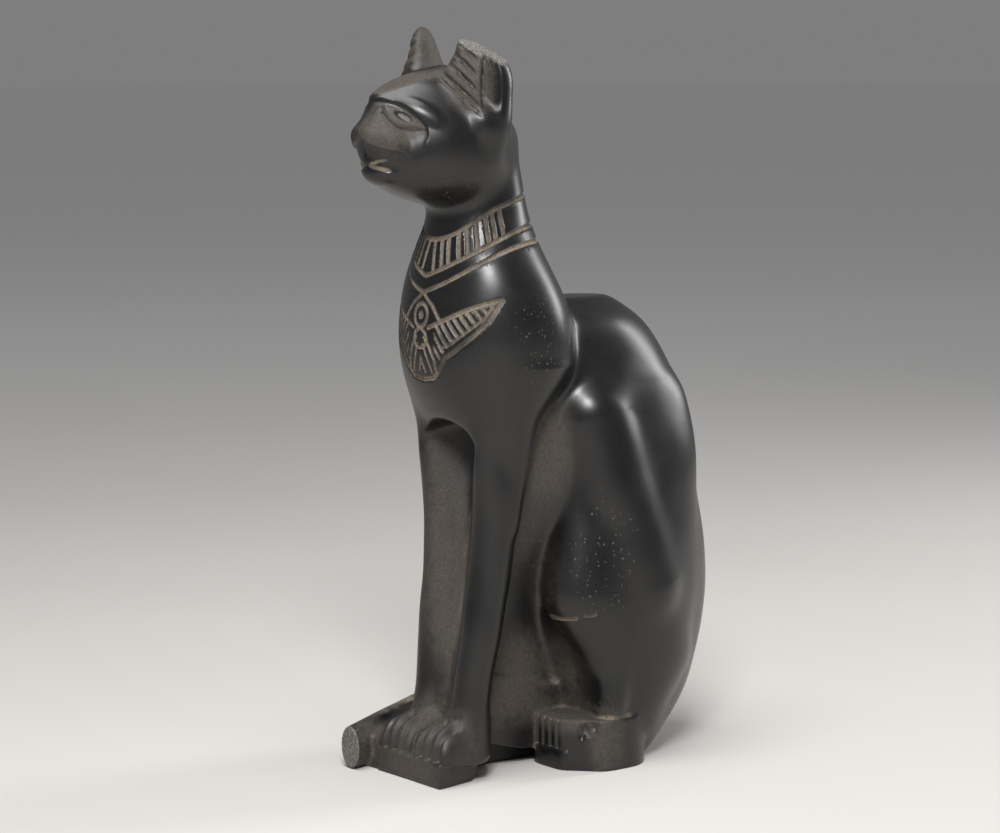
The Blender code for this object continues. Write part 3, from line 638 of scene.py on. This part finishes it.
def collar_cut(turn, z, r):
    """Depth of the three rings and of the leaves that hang from the upper one."""
    level = [spline(turn, *np.array(ring, float).T) for ring in RINGS]
    cut = np.zeros(len(z))
    for ring in level:
        cut = np.maximum(cut, trench((z - ring) * 0.93, GROOVE, CUT))
    place = (turn + (z - 305) * 0.2) / LEAF
    number = np.floor(place)
    uneven = 0.5 + 0.09 * np.sin(number * 2.4)
    leaf = np.abs(place - number - uneven) * LEAF * np.radians(1) * r
    rows = (z < level[0]) & (z > level[1] + 1.5) & (turn < 74)
    return np.maximum(cut, trench(leaf, 1.3, 1.2) * rows)


def beetle_cut(turn, z, r):
    """Depth of the wings with their feathers, the disc, the beetle's shell and its fan."""
    a = np.radians(turn) * r
    edge = np.minimum(line_round(a, z, r, WING_TOP), line_round(a, z, r, WING_LOW))
    c = trench(edge, GROOVE, CUT)
    c = np.maximum(c, trench(line_round(a, z, r, CORD), 1.3, 1.2))
    c = np.maximum(c, trench(line_round(a, z, r, WING_BAND), 0.9, 1.0))
    top = np.interp(turn, *np.array(WING_TOP).T)
    low = np.interp(turn, *np.array(WING_LOW[:6][::-1]).T)
    inner = (z < top) & (z > low + 4.5) & (turn > 15) & (turn < 62)
    plume = (turn + (z - 260) * 0.9) % FEATHER - FEATHER / 2
    plume = np.abs(plume) * np.radians(0.8) * r
    c = np.maximum(c, trench(plume, 1.15, 1.1) * inner)
    oval = np.abs(np.hypot(a / 5.6, (z - DISC_Z) / 6.4) - 1) * 6
    c = np.maximum(c, trench(oval, 1.4, 1.3))
    c = np.maximum(c, 1.2 * (1 - ease(np.hypot(a / 2.4, (z - DISC_Z) / 2.6), 0.5, 1.2)))
    c = np.maximum(c, trench(line_round(a, z, r, SHELL), 1.3, 1.2))
    fan = np.abs((turn + (z - 240) * 0.5 + FAN / 2) % FAN - FAN / 2) * np.radians(1) * r
    rows = (z < 249) & (z > 232) & (turn < 9 + (249 - z) / 2)
    c = np.maximum(c, trench(fan, 1.1, 1.1) * rows)
    return np.maximum(c, trench(line_round(a, z, r, FAN_SIDE), 1.3, 1.2))


def jewel_field(p):
    """Depth of the whole ornament, nought away from the neck and breast."""
    out = np.zeros(len(p))
    near = (p[:, 2] > 222) & (p[:, 2] < 338)
    x, y, z = p[near].T
    r = np.hypot(x, y - NECK_Y) + 1e-6
    turn = np.degrees(np.arctan2(np.abs(x), NECK_Y - y))
    cut = collar_cut(turn, z, r)
    front = (y < 0) & (z < 285)
    cut[front] = np.maximum(cut[front], beetle_cut(turn[front], z[front], r[front]))
    out[near] = cut
    return out


print("carved lines are", round(2 * GROOVE * UNIT * 1000, 1), "mm wide")

# %% [markdown]
# ## The whole form
#
# Each field is added in turn, worked out only where it can matter, which keeps the script
# quick. Hand polishing never leaves a true surface, so a very low swell goes over everything:
# it is far too small to see as a shape, but it bends the highlights.

# %% The statue's field
SWELL = 0.16         # height of the polisher's unevenness, in parts
SOFT = 14            # width over which body, chest and head flow together
BODY_TOP = 300       # heights past which a mass is too far away to matter
WEB_TOP = 240
TAIL_TOP = 150
FEET_TOP = 70
HEAD_LOW = 305
EARS_LOW = 342


def statue_field(p):
    """Signed distance, in parts, from the finished surface: negative inside the stone."""
    z = p[:, 2]
    form = np.full(len(p), 60.0)
    form = joined(form, p, z < BODY_TOP, body_field, SOFT)
    form = melt(form, chest_field(p), SOFT)
    form = joined(form, p, z > HEAD_LOW, head_field, SOFT) + jewel_field(p)
    high = z > EARS_LOW
    if high.any():
        ears = ear_field(mirrored(p[high]), p[high, 0] > 0)
        form[high] = melt(form[high], ears, 6)
    form = joined(form, p, z < WEB_TOP, web_field, 7)
    form = joined(form, p, z < FEET_TOP, foot_field, 4)
    form = joined(form, p, z < TAIL_TOP, tail_field, 4)
    form = form + SWELL * ripple(p, 38.0, 11)
    return within(form, -z, 1.0)


def slope_of(p, value, step=0.35):
    """Gradient of the field by forward differences."""
    out = np.empty_like(p)
    for k in range(3):
        q = p.copy()
        q[:, k] += step
        out[:, k] = (statue_field(q) - value) / step
    return out


def settle(p, rounds, reach):
    """Newton steps onto the surface: p less value times gradient over its square."""
    for _ in range(rounds):
        value = statue_field(p)
        slope = slope_of(p, value)
        steep = np.maximum((slope ** 2).sum(1), 0.25)
        p = p - (np.clip(value, -reach, reach) / steep)[:, None] * slope
    p[p[:, 2] < 0.3, 2] = 0.0
    return p


heart = np.array([[0.0, -10.0, 260.0]])
print("field inside the chest:", round(float(statue_field(heart)[0]), 1), "parts")

# %% [markdown]
# ## From field to skin
#
# The frame's own solid is a coarse model of the same form. A voxel remesh gives it a fine even
# skin, and each point then slides down the field's slope onto the exact surface. A decimate
# takes faces out of plain areas, where they show nothing, and a last settling puts the points
# that are left back on the surface.

# %% Fine skin round the solid
VOXEL = 0.66         # face size of the fine skin, in parts
FACES = 197000       # faces kept in the finished skin
MERGE = 0.001        # corners of the solid's loose triangles this near are one point
SLIVER = 0.02        # edges shorter than this are closed up
FLAP = 1000          # a loose group of fewer points than this isn't the statue


def points_of(mesh):
    """A mesh's points as an array."""
    flat = np.empty(len(mesh.vertices) * 3)
    mesh.vertices.foreach_get("co", flat)
    return flat.reshape(-1, 3)


def reworked(mesh, kind, settings):
    """A copy of a mesh after one modifier with these settings."""
    holder = bpy.data.objects.new("blank", mesh)
    bpy.context.collection.objects.link(holder)
    change = holder.modifiers.new(kind, kind)
    for name, value in settings.items():
        setattr(change, name, value)
    graph = bpy.context.evaluated_depsgraph_get()
    fresh = bpy.data.meshes.new_from_object(holder.evaluated_get(graph))
    bpy.data.objects.remove(holder)
    bpy.data.meshes.remove(mesh)
    return fresh


def sound(mesh):
    """The one closed body: stray flaps dropped, slivers closed up."""
    body = bmesh.new()
    body.from_mesh(mesh)
    bmesh.ops.dissolve_degenerate(body, dist=SLIVER, edges=body.edges)
    bmesh.ops.triangulate(body, faces=[face for face in body.faces if len(face.verts) > 3])
    left = set(body.verts)
    while left:
        first = left.pop()
        group = [first]
        for vertex in group:
            near = {edge.other_vert(vertex) for edge in vertex.link_edges} & left
            left -= near
            group.extend(near)
        if len(group) < FLAP:
            bmesh.ops.delete(body, geom=group, context="VERTS")
    body.to_mesh(mesh)
    body.free()
    return mesh


def fine_skin(node):
    """The node's mesh in parts, merged, remeshed, settled, thinned and settled once more."""
    mesh = node.data.copy()
    mesh.vertices.foreach_set("co", to_parts(points_of(mesh)).ravel())
    mesh = reworked(mesh, "WELD", {"merge_threshold": MERGE})
    mesh = reworked(mesh, "REMESH", {"mode": "VOXEL", "voxel_size": VOXEL})
    mesh.vertices.foreach_set("co", settle(points_of(mesh), 3, 1.5).ravel())
    mesh.update()
    ratio = FACES / (2.0 * len(mesh.polygons))
    mesh = reworked(mesh, "DECIMATE", {"ratio": ratio, "use_collapse_triangulate": True})
    mesh = sound(mesh)
    mesh.vertices.foreach_set("co", settle(points_of(mesh), 2, 0.4).ravel())
    mesh.update()
    return mesh


skin = fine_skin(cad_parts["cat_statue"])
SKIN = points_of(skin)
print("skin:", len(skin.polygons), "faces,", len(SKIN), "points")

# %% [markdown]
# ## Where dust lies and stone is broken
#
# Dust stays in carved lines and in hollows. How hollow a place is can be measured: step a short
# way out along the surface's normal, and compare the field there with the length of the step.
# On a flat or bulging place they agree, and in a hollow the field is less. On top of that, the
# broad patches are set as soft balls of dust, where the real statue has them, and the areas
# with worn specks are set in the same way.

# %% Normals and hollows
VALUE = statue_field(SKIN)
NORMALS = slope_of(SKIN, VALUE)
NORMALS = NORMALS / np.linalg.norm(NORMALS, axis=1)[:, None]


def hollow_at(step):
    """1 - field(p + step n) / step: nought on a flat, up to 1 at the bottom of a hollow."""
    return np.clip(1 - statue_field(SKIN + NORMALS * step) / step, 0, 1)


FINE_HOLLOW = hollow_at(1.6)
WIDE_HOLLOW = hollow_at(9.0)
print("points in fine hollows:", int((FINE_HOLLOW > 0.4).sum()))


# %% Dust and breaks
PATCHES = [          # soft balls of dust: middle, radii, strength
    ((13, -92, 366), (25, 20, 19), 1.0), ((12, -66, 401), (26, 30, 8), 1.0),
    ((8, -86, 392), (18, 12, 7), 1.0),
    ((23, -78, 372), (20, 18, 14), 0.75), ((27, -44, 396), (19, 18, 30), 0.9),
    ((-26, -38, 402), (24, 20, 42), 0.85), ((0, -31, 100), (19, 13, 100), 0.9),
    ((-16, -28, 120), (20, 22, 112), 0.8), ((33, 6, 186), (16, 26, 42), 1.0),
    # partly painted light: the ball at (22, 44, 62) is dust that is also laid on to lighten the shade
    # in the hollow between web and shank
    ((8, -2, 52), (20, 44, 40), 1.0), ((22, 44, 62), (24, 30, 38), 0.9),
    ((28, 28, 30), (36, 30, 13), 1.0), ((0, -46, 24), (48, 36, 34), 0.75),
    ((-42, -66, 14), (20, 22, 21), 0.9), ((52, 36, 16), (10, 20, 28), 0.7),
    ((0, -66, 7), (40, 9, 14), 0.8), ((30, 0, 125), (24, 24, 60), 0.35),
]

PITTED = [           # the same for worn specks
    ((18, -50, 335), (22, 26, 20), 1.0), ((50, 40, 125), (20, 34, 52), 0.9),
    ((30, 112, 100), (40, 36, 40), 1.0), ((26, 0, 110), (18, 26, 60), 0.7),
    ((50, -12, 250), (14, 30, 40), 0.5), ((40, -52, 20), (20, 20, 22), 0.6),
    ((46, 60, 30), (16, 50, 32), 0.6), ((-40, 60, 120), (24, 60, 90), 0.6),
]


def patches(p, balls):
    """Soft balls put together: 1 - product of (1 - strength times (1 - r^2)^1.5)."""
    clear = np.ones(len(p))
    for centre, radii, strength in balls:
        r = (((p - np.array(centre)) / np.array(radii)) ** 2).sum(1)
        clear = clear * (1 - strength * np.clip(1 - r, 0, 1) ** 1.5)
    return 1 - clear


def broken_at(p):
    """1 on the ear's break and on the tail's broken end."""
    left = p[:, 0] > 0
    ear = (np.abs(ear_break(p)) < 1.2) & left & (p[:, 2] > 395)
    tail = (np.abs(p[:, 1] - TIP) < 1.0) & (p[:, 0] < -30) & (p[:, 2] < 30)
    return (ear | tail).astype(float)


carved = np.clip(jewel_field(SKIN) / 0.7, 0, 1)
FOLDED = mirrored(SKIN)
lips = 1 - ease(np.minimum(*mouth_lines(FOLDED)), 0.6, 1.6)
knee = (1 - ease(knee_line(SKIN), 0.7, 1.8)) * (SKIN[:, 0] > KNEE_INNER) * (SKIN[:, 1] < 30)
lines = np.maximum(lips, knee)
DUST = np.maximum(np.maximum(carved, lines), np.clip(FINE_HOLLOW * 1.8 - 0.25, 0, 1))
# the film is dust, except that one patch also paints light, and later the face's bands are cut from
# it to paint shade
FILM = 1 - (1 - patches(SKIN, PATCHES)) * (1 - 0.5 * np.clip(WIDE_HOLLOW * 1.2 - 0.35, 0, 1))


def face_film_and_shade(film):
    """Film on the forehead's flat; none on brow, lid, iris and lips, which also paints shade under
    the forehead's edge and below the muzzle's edge.
    """
    a, b, c = eye_plane(FOLDED)
    top = spline(a, *np.array(LID_TOP, float).T)
    face = ease(-SKIN[:, 1], 48, 60) * ease(SKIN[:, 2], 340, 346)
    high = forehead_plane(SKIN)
    film = np.maximum(film, 0.9 * ease(high, -1.3, -0.4) * (SKIN[:, 1] < -42) * face)
    # painted shade: the band under the forehead's edge loses its film and stays black, as do the
    # polished brow and lid
    bare_and_shade = ease(b - top, -1.5, 0.2) * (1 - ease(high, -1.6, -0.9)) * (1 - ease(b - top, 14, 18))
    bare_and_shade = np.maximum(bare_and_shade, 0.7 * ease(iris_at(a, b), 0, 0.5) * (c > -8))
    # painted shade: the lips below the muzzle's edge lose their film and stay black
    bare_and_shade = np.maximum(bare_and_shade, ease(363 - 0.45 * FOLDED[:, 0] - SKIN[:, 2], 0, 2))
    return film * (1 - 0.85 * bare_and_shade * face)


FILM = face_film_and_shade(FILM)
PITS = patches(SKIN, PITTED)
BROKEN = broken_at(SKIN)
print("share of the skin with dust:", round(float(DUST.mean()), 3))
print("share of the skin with film:", round(float(FILM.mean()), 3))

# %% [markdown]
# ## Into the scene
#
# The settled skin takes the place of the frame's coarse solid. The field's own slope gives the
# normals, which are smoother than any that triangles can give, and what was worked out about
# dust, film, specks and breaks goes along as values on the points for the material to read.

# %% The statue object
def finished(mesh):
    """Put the skin in place in metres, with its normals and its painted values."""
    mesh.vertices.foreach_set("co", to_metres(SKIN).ravel())
    mesh.update()
    mesh.shade_smooth()
    mesh.normals_split_custom_set_from_vertices(NORMALS.tolist())
    for name, values in (("dust", DUST), ("film", FILM), ("pits", PITS), ("broken", BROKEN)):
        layer = mesh.attributes.new(name, "FLOAT", "POINT")
        layer.data.foreach_set("value", values.astype(np.float32))
    statue = bpy.data.objects.new("carved_cat", mesh)
    bpy.context.collection.objects.link(statue)
    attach(statue, "root")
    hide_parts("cat_statue")
    return statue


statue = finished(skin)
print("statue stands", round(float(to_metres(SKIN)[:, 2].max()), 4), "m high")

# %% [markdown]
# ## Polished black stone
#
# A hard, dense, nearly black stone such as basalt or diorite, ground with sand and polished with
# finer and finer grit. The polish is a dielectric's, with an index near 1.55, not a
# varnish: glossy on the bulges that hands and cloths reach, duller towards the hollows. Dust is
# brown-grey and quite matt, and a fresh break is a lighter, grainy grey.

# %% Colours and nodes
SMOOTH = {"interpolation_type": "SMOOTHSTEP"}


def linear(code):
    """An sRGB hex colour as the linear values that a shader takes."""
    part = np.array([int(code[i:i + 2], 16) for i in (0, 2, 4)]) / 255
    low = part / 12.92
    high = ((part + 0.055) / 1.055) ** 2.4
    return (*np.where(part <= 0.04045, low, high), 1.0)


def node(tree, kind, inputs=(), output=0, **properties):
    """Add a node with its properties, give its inputs values or links, return one output."""
    made = tree.nodes.new("ShaderNode" + kind)
    for name, value in properties.items():
        setattr(made, name, value)
    for socket, value in inputs.items() if isinstance(inputs, dict) else enumerate(inputs):
        if isinstance(value, bpy.types.NodeSocket):
            tree.links.new(value, made.inputs[socket])
        else:
            made.inputs[socket].default_value = value
    return made.outputs[output]


print("near black as linear values:", [round(float(part), 4) for part in linear("0a0a0b")])

# %% What covers the stone
GRAIN = 1.2          # real crystals are under half a millimetre, and wouldn't show at all
WIPE = 5.0           # smears that a cloth leaves, millimetres
CLOUD = 30.0         # slow changes in the polish, millimetres
TONES = {            # the grain's values from dark to light, and the two colours
    "stone": (0.45, 0.75, "0a0a0b", "171718"),
    "film": (0.3, 0.7, "423c36", "564f47"),
    "earth": (0.3, 0.7, "665c51", "8c8072"),
    "chipped": (0.3, 0.75, "4a4845", "85817b"),
}


def mottled(tree, grain):
    """Each of the tones, its dark and its light mixed by the grain."""
    tones = {}
    for name, (low, high, dark, light) in TONES.items():
        share = node(tree, "MapRange", (grain, low, high), **SMOOTH)
        pair = {0: share, 6: linear(dark), 7: linear(light)}
        tones[name] = node(tree, "Mix", pair, 2, data_type="RGBA")
    return tones


def dust_cover(tree, dust, smear):
    """Packed dust: the painted value with the smears added, cut off where it is nought."""
    uneven = node(tree, "Math", (smear, 0.5), operation="SUBTRACT")
    uneven = node(tree, "Math", (uneven, 0.7), operation="MULTIPLY")
    caught = node(tree, "Math", (dust, uneven), operation="ADD")
    caught = node(tree, "MapRange", (caught, 0.15, 0.85), **SMOOTH)
    there = node(tree, "MapRange", (dust, 0.05, 0.4), **SMOOTH)
    return node(tree, "Math", (caught, there), operation="MULTIPLY")


def film_cover(tree, film, smear):
    """A thin film of dust, thinner where a cloth has passed, that never hides the stone."""
    wiped = node(tree, "MapRange", (smear, -0.05, 0.66), **SMOOTH)
    thin = node(tree, "Math", (film, wiped), operation="MULTIPLY")
    thin = node(tree, "MapRange", (thin, -0.05, 0.75), **SMOOTH)
    return node(tree, "Math", (thin, 0.8), operation="MULTIPLY")


def pits(tree, place, spread, size, few):
    """Small marks in some of the cells, spread millimetres wide; fewer as few rises."""
    away = node(tree, "TexVoronoi", {"Vector": place, "Scale": 1000.0 / spread}, "Distance")
    chance = away.node.outputs["Color"]
    away = node(tree, "MapRange", (away, size, size * 2.4), **SMOOTH)
    mark = node(tree, "Math", (1.0, away), operation="SUBTRACT")
    chosen = node(tree, "MapRange", (chance, few, few + 0.25), **SMOOTH)
    return node(tree, "Math", (mark, chosen), operation="MULTIPLY")


def speck_cover(tree, place, pitted, smear):
    """Worn specks of two sizes, only where they are painted and in some of the smears."""
    sizes = (pits(tree, place, 4.5, 0.08, 0.42), pits(tree, place, 2.2, 0.12, 0.5))
    speck = node(tree, "Math", sizes, operation="MAXIMUM")
    for source, low, high in ((pitted, 0.05, 0.6), (smear, 0.3, 0.5)):
        share = node(tree, "MapRange", (source, low, high), **SMOOTH)
        speck = node(tree, "Math", (speck, share), operation="MULTIPLY")
    return speck


print("tones:", sorted(TONES))

# %% [markdown]
# ## Layers on the stone
#
# The colour is built as it came about: black stone, a slow wear in the polish, a film of dust,
# packed dust over it, then the breaks and the specks. Whatever covers the stone is also matt,
# so the same values raise the roughness, and a little grain in relief goes where it is matt.


# %% The stone's material
def painted_layers(tree, tones, cloud, covers):
    """Black stone under wear, film, packed dust, breaks and specks, each mixed over the last."""
    thin, packed, broken, speck = covers
    worn = node(tree, "MapRange", (cloud, 0.42, 0.75), **SMOOTH)
    worn = node(tree, "Math", (worn, 0.4), operation="MULTIPLY")
    damp = node(tree, "MapRange", (cloud, 0.36, 0.58), **SMOOTH)
    pair = {0: damp, 6: linear("473f38"), 7: tones["earth"]}
    earth = node(tree, "Mix", pair, 2, data_type="RGBA")
    pale = node(tree, "Math", (speck, 0.6), operation="MULTIPLY")
    layers = (
        (worn, linear("1f1d1c")), (thin, tones["film"]), (packed, earth),
        (broken, tones["chipped"]), (pale, linear("6d665e")),
    )
    colour = tones["stone"]
    for cover, paint in layers:
        colour = node(tree, "Mix", {0: cover, 6: colour, 7: paint}, 2, data_type="RGBA")
    return colour


def polished_basalt():
    """The stone's material: polish, grain, worn specks, dust, film and breaks."""
    material = bpy.data.materials.new("polished_basalt")
    material.use_nodes = True
    tree = material.node_tree
    place = node(tree, "TexCoord", output="Object")
    dust, film, pitted, broken = [
        node(tree, "Attribute", output="Fac", attribute_name=name)
        for name in ("dust", "film", "pits", "broken")
    ]
    grain, smear, cloud = [
        node(tree, "TexNoise", {0: place, "Scale": scale, "Detail": detail, "Roughness": 0.6})
        for scale, detail in ((1000 / GRAIN, 3.0), (1000 / WIPE, 8.0), (1000 / CLOUD, 4.0))
    ]
    thin = film_cover(tree, film, smear)
    packed = dust_cover(tree, dust, smear)
    speck = speck_cover(tree, place, pitted, smear)
    colour = painted_layers(tree, mottled(tree, grain), cloud, (thin, packed, broken, speck))
    matt = packed
    for cover in (broken, thin, speck):
        matt = node(tree, "Math", (matt, cover), operation="MAXIMUM")
    gloss = node(tree, "Math", (cloud, 0.2), operation="MULTIPLY")
    gloss = node(tree, "Math", (gloss, 0.22), operation="ADD")
    dull = node(tree, "Math", (matt, 0.6), operation="MULTIPLY")
    rough = node(tree, "Math", (gloss, dull), operation="ADD")
    rise = node(tree, "Math", (matt, 0.1), operation="ADD")
    rise = node(tree, "Math", (grain, rise), operation="MULTIPLY")
    bump = node(tree, "Bump", {"Height": rise, "Strength": 0.5, "Distance": 0.0005})
    shader = tree.nodes["Principled BSDF"]
    shader.inputs["IOR"].default_value = 1.55
    for socket, source in (("Base Color", colour), ("Roughness", rough), ("Normal", bump)):
        tree.links.new(source, shader.inputs[socket])
    return material


statue.data.materials.clear()
statue.data.materials.append(polished_basalt())
print("material nodes:", len(statue.data.materials[0].node_tree.nodes))

# %% [markdown]
# ## A plain studio
#
# A pale sheet as a floor. It gets paler with distance, so that it runs into the surround with
# no hard horizon. A curved backdrop could do the same, but for one view alone.

# %% Floor
FLOOR_HALF = 40.0     # metres from its middle to each edge


def pale_floor():
    """One sheet at the ground, paler far off."""
    corners = np.array([(-1, -1, 0), (1, -1, 0), (1, 1, 0), (-1, 1, 0)], float) * FLOOR_HALF
    mesh = bpy.data.meshes.new("floor")
    mesh.from_pydata(corners.tolist(), [], [(0, 1, 2, 3)])
    floor = bpy.data.objects.new("floor", mesh)
    bpy.context.collection.objects.link(floor)
    material = bpy.data.materials.new("pale_paper")
    material.use_nodes = True
    tree = material.node_tree
    place = node(tree, "TexCoord", output="Object")
    far = node(tree, "VectorMath", (place,), "Value", operation="LENGTH")
    far = node(tree, "MapRange", (far, 0.7, 3.2), **SMOOTH)
    mottle = {"Vector": place, "Scale": 2.5, "Detail": 2.0, "Roughness": 0.6}
    near = {0: node(tree, "TexNoise", mottle), 6: linear("cfccc8"), 7: linear("d6d3cf")}
    tone = node(tree, "Mix", near, 2, data_type="RGBA")
    tone = node(tree, "Mix", {0: far, 6: tone, 7: linear("fafafa")}, 2, data_type="RGBA")
    shader = tree.nodes["Principled BSDF"]
    tree.links.new(tone, shader.inputs["Base Color"])
    shader.inputs["Roughness"].default_value = 0.9
    mesh.materials.append(material)


pale_floor()
print("floor is", 2 * FLOOR_HALF, "m across")

# %% [markdown]
# ## Where the camera stands
#
# The photograph was taken from the cat's left front, at about the height of its ears and some
# four times its height away, so the sides hardly close in downwards. The lens follows from
# that distance and from how many pixels of the frame one part takes up.

# %% Camera
AZIMUTH = 52.0        # the camera stands this far round to the cat's left, degrees
ELEVATION = 7.0       # and looks down by this much
DISTANCE = 1650.0     # parts from the camera to the statue's middle
PIXELS = 1.748        # pixels that one part takes up in the frame
FRAME_WIDE = 1000     # pixels across the frame
SENSOR = 36.0         # width of the camera's sensor, millimetres
FOCAL = PIXELS * DISTANCE * SENSOR / FRAME_WIDE
AIM = np.array((0.0, 0.0, 203.0))


def camera_axes(azimuth, elevation):
    """Unit vectors right, up and back of a camera that looks in from these two angles."""
    a = np.radians(azimuth)
    e = np.radians(elevation)
    back = np.array((np.sin(a) * np.cos(e), -np.cos(a) * np.cos(e), np.sin(e)))
    right = np.array((np.cos(a), np.sin(a), 0.0))
    return right, np.cross(back, right), back


def placed(item, at, right, up, back):
    """Put an object at a place with its own axes along right, up and back."""
    rows = [(right[k], up[k], back[k], at[k]) for k in range(3)]
    item.matrix_world = Matrix([*rows, (0, 0, 0, 1)])
    bpy.context.collection.objects.link(item)
    return item


right, up, back = camera_axes(AZIMUTH, ELEVATION)
camera = bpy.data.objects.new("camera", bpy.data.cameras.new("camera"))
camera.data.sensor_width = SENSOR
camera.data.lens = FOCAL
placed(camera, to_metres(AIM + back * DISTANCE), right, up, back)
bpy.context.scene.camera = camera
print("lens", round(FOCAL, 1), "mm")


# %% [markdown]
# ## Soft boxes
#
# Polished black stone shows its shape only through what it mirrors, so three soft boxes stand
# where the real highlights ask for them: one high beside the camera, a wide one nearly overhead
# for the back and shoulders, and a tall narrow one to the right and behind for the long edge.

# %% Lights
LIGHT_AIM = 0.22      # height that the lights face, metres
LIGHTS = [            # name, degrees from the camera, elevation, metres away, size, watts
    ("key", -2, 38, 1.6, (0.42, 0.42), 20),
    ("top", -30, 72, 1.5, (0.9, 0.9), 16),
    ("rim", 118, 22, 1.5, (0.3, 0.9), 9),
]


def soft_box(name, azimuth, elevation, distance, size, watts):
    """An area light that faces the statue from a given side, its size in metres."""
    right, up, back = camera_axes(azimuth, elevation)
    light = bpy.data.lights.new(name, "AREA")
    light.shape = "RECTANGLE"
    light.size, light.size_y = size
    light.energy = watts
    at = np.array((0.0, 0.0, LIGHT_AIM)) + back * distance
    return placed(bpy.data.objects.new(name, light), at, right, up, back)


for name, beside, elevation, distance, size, watts in LIGHTS:
    soft_box(name, AZIMUTH + beside, elevation, distance, size, watts)
world = bpy.data.worlds.new("surround")
world.use_nodes = True
world.node_tree.nodes["Background"].inputs[0].default_value = linear("d9d9d9")
world.node_tree.nodes["Background"].inputs[1].default_value = 0.3
bpy.context.scene.world = world
bpy.context.scene.view_settings.view_transform = "Standard"
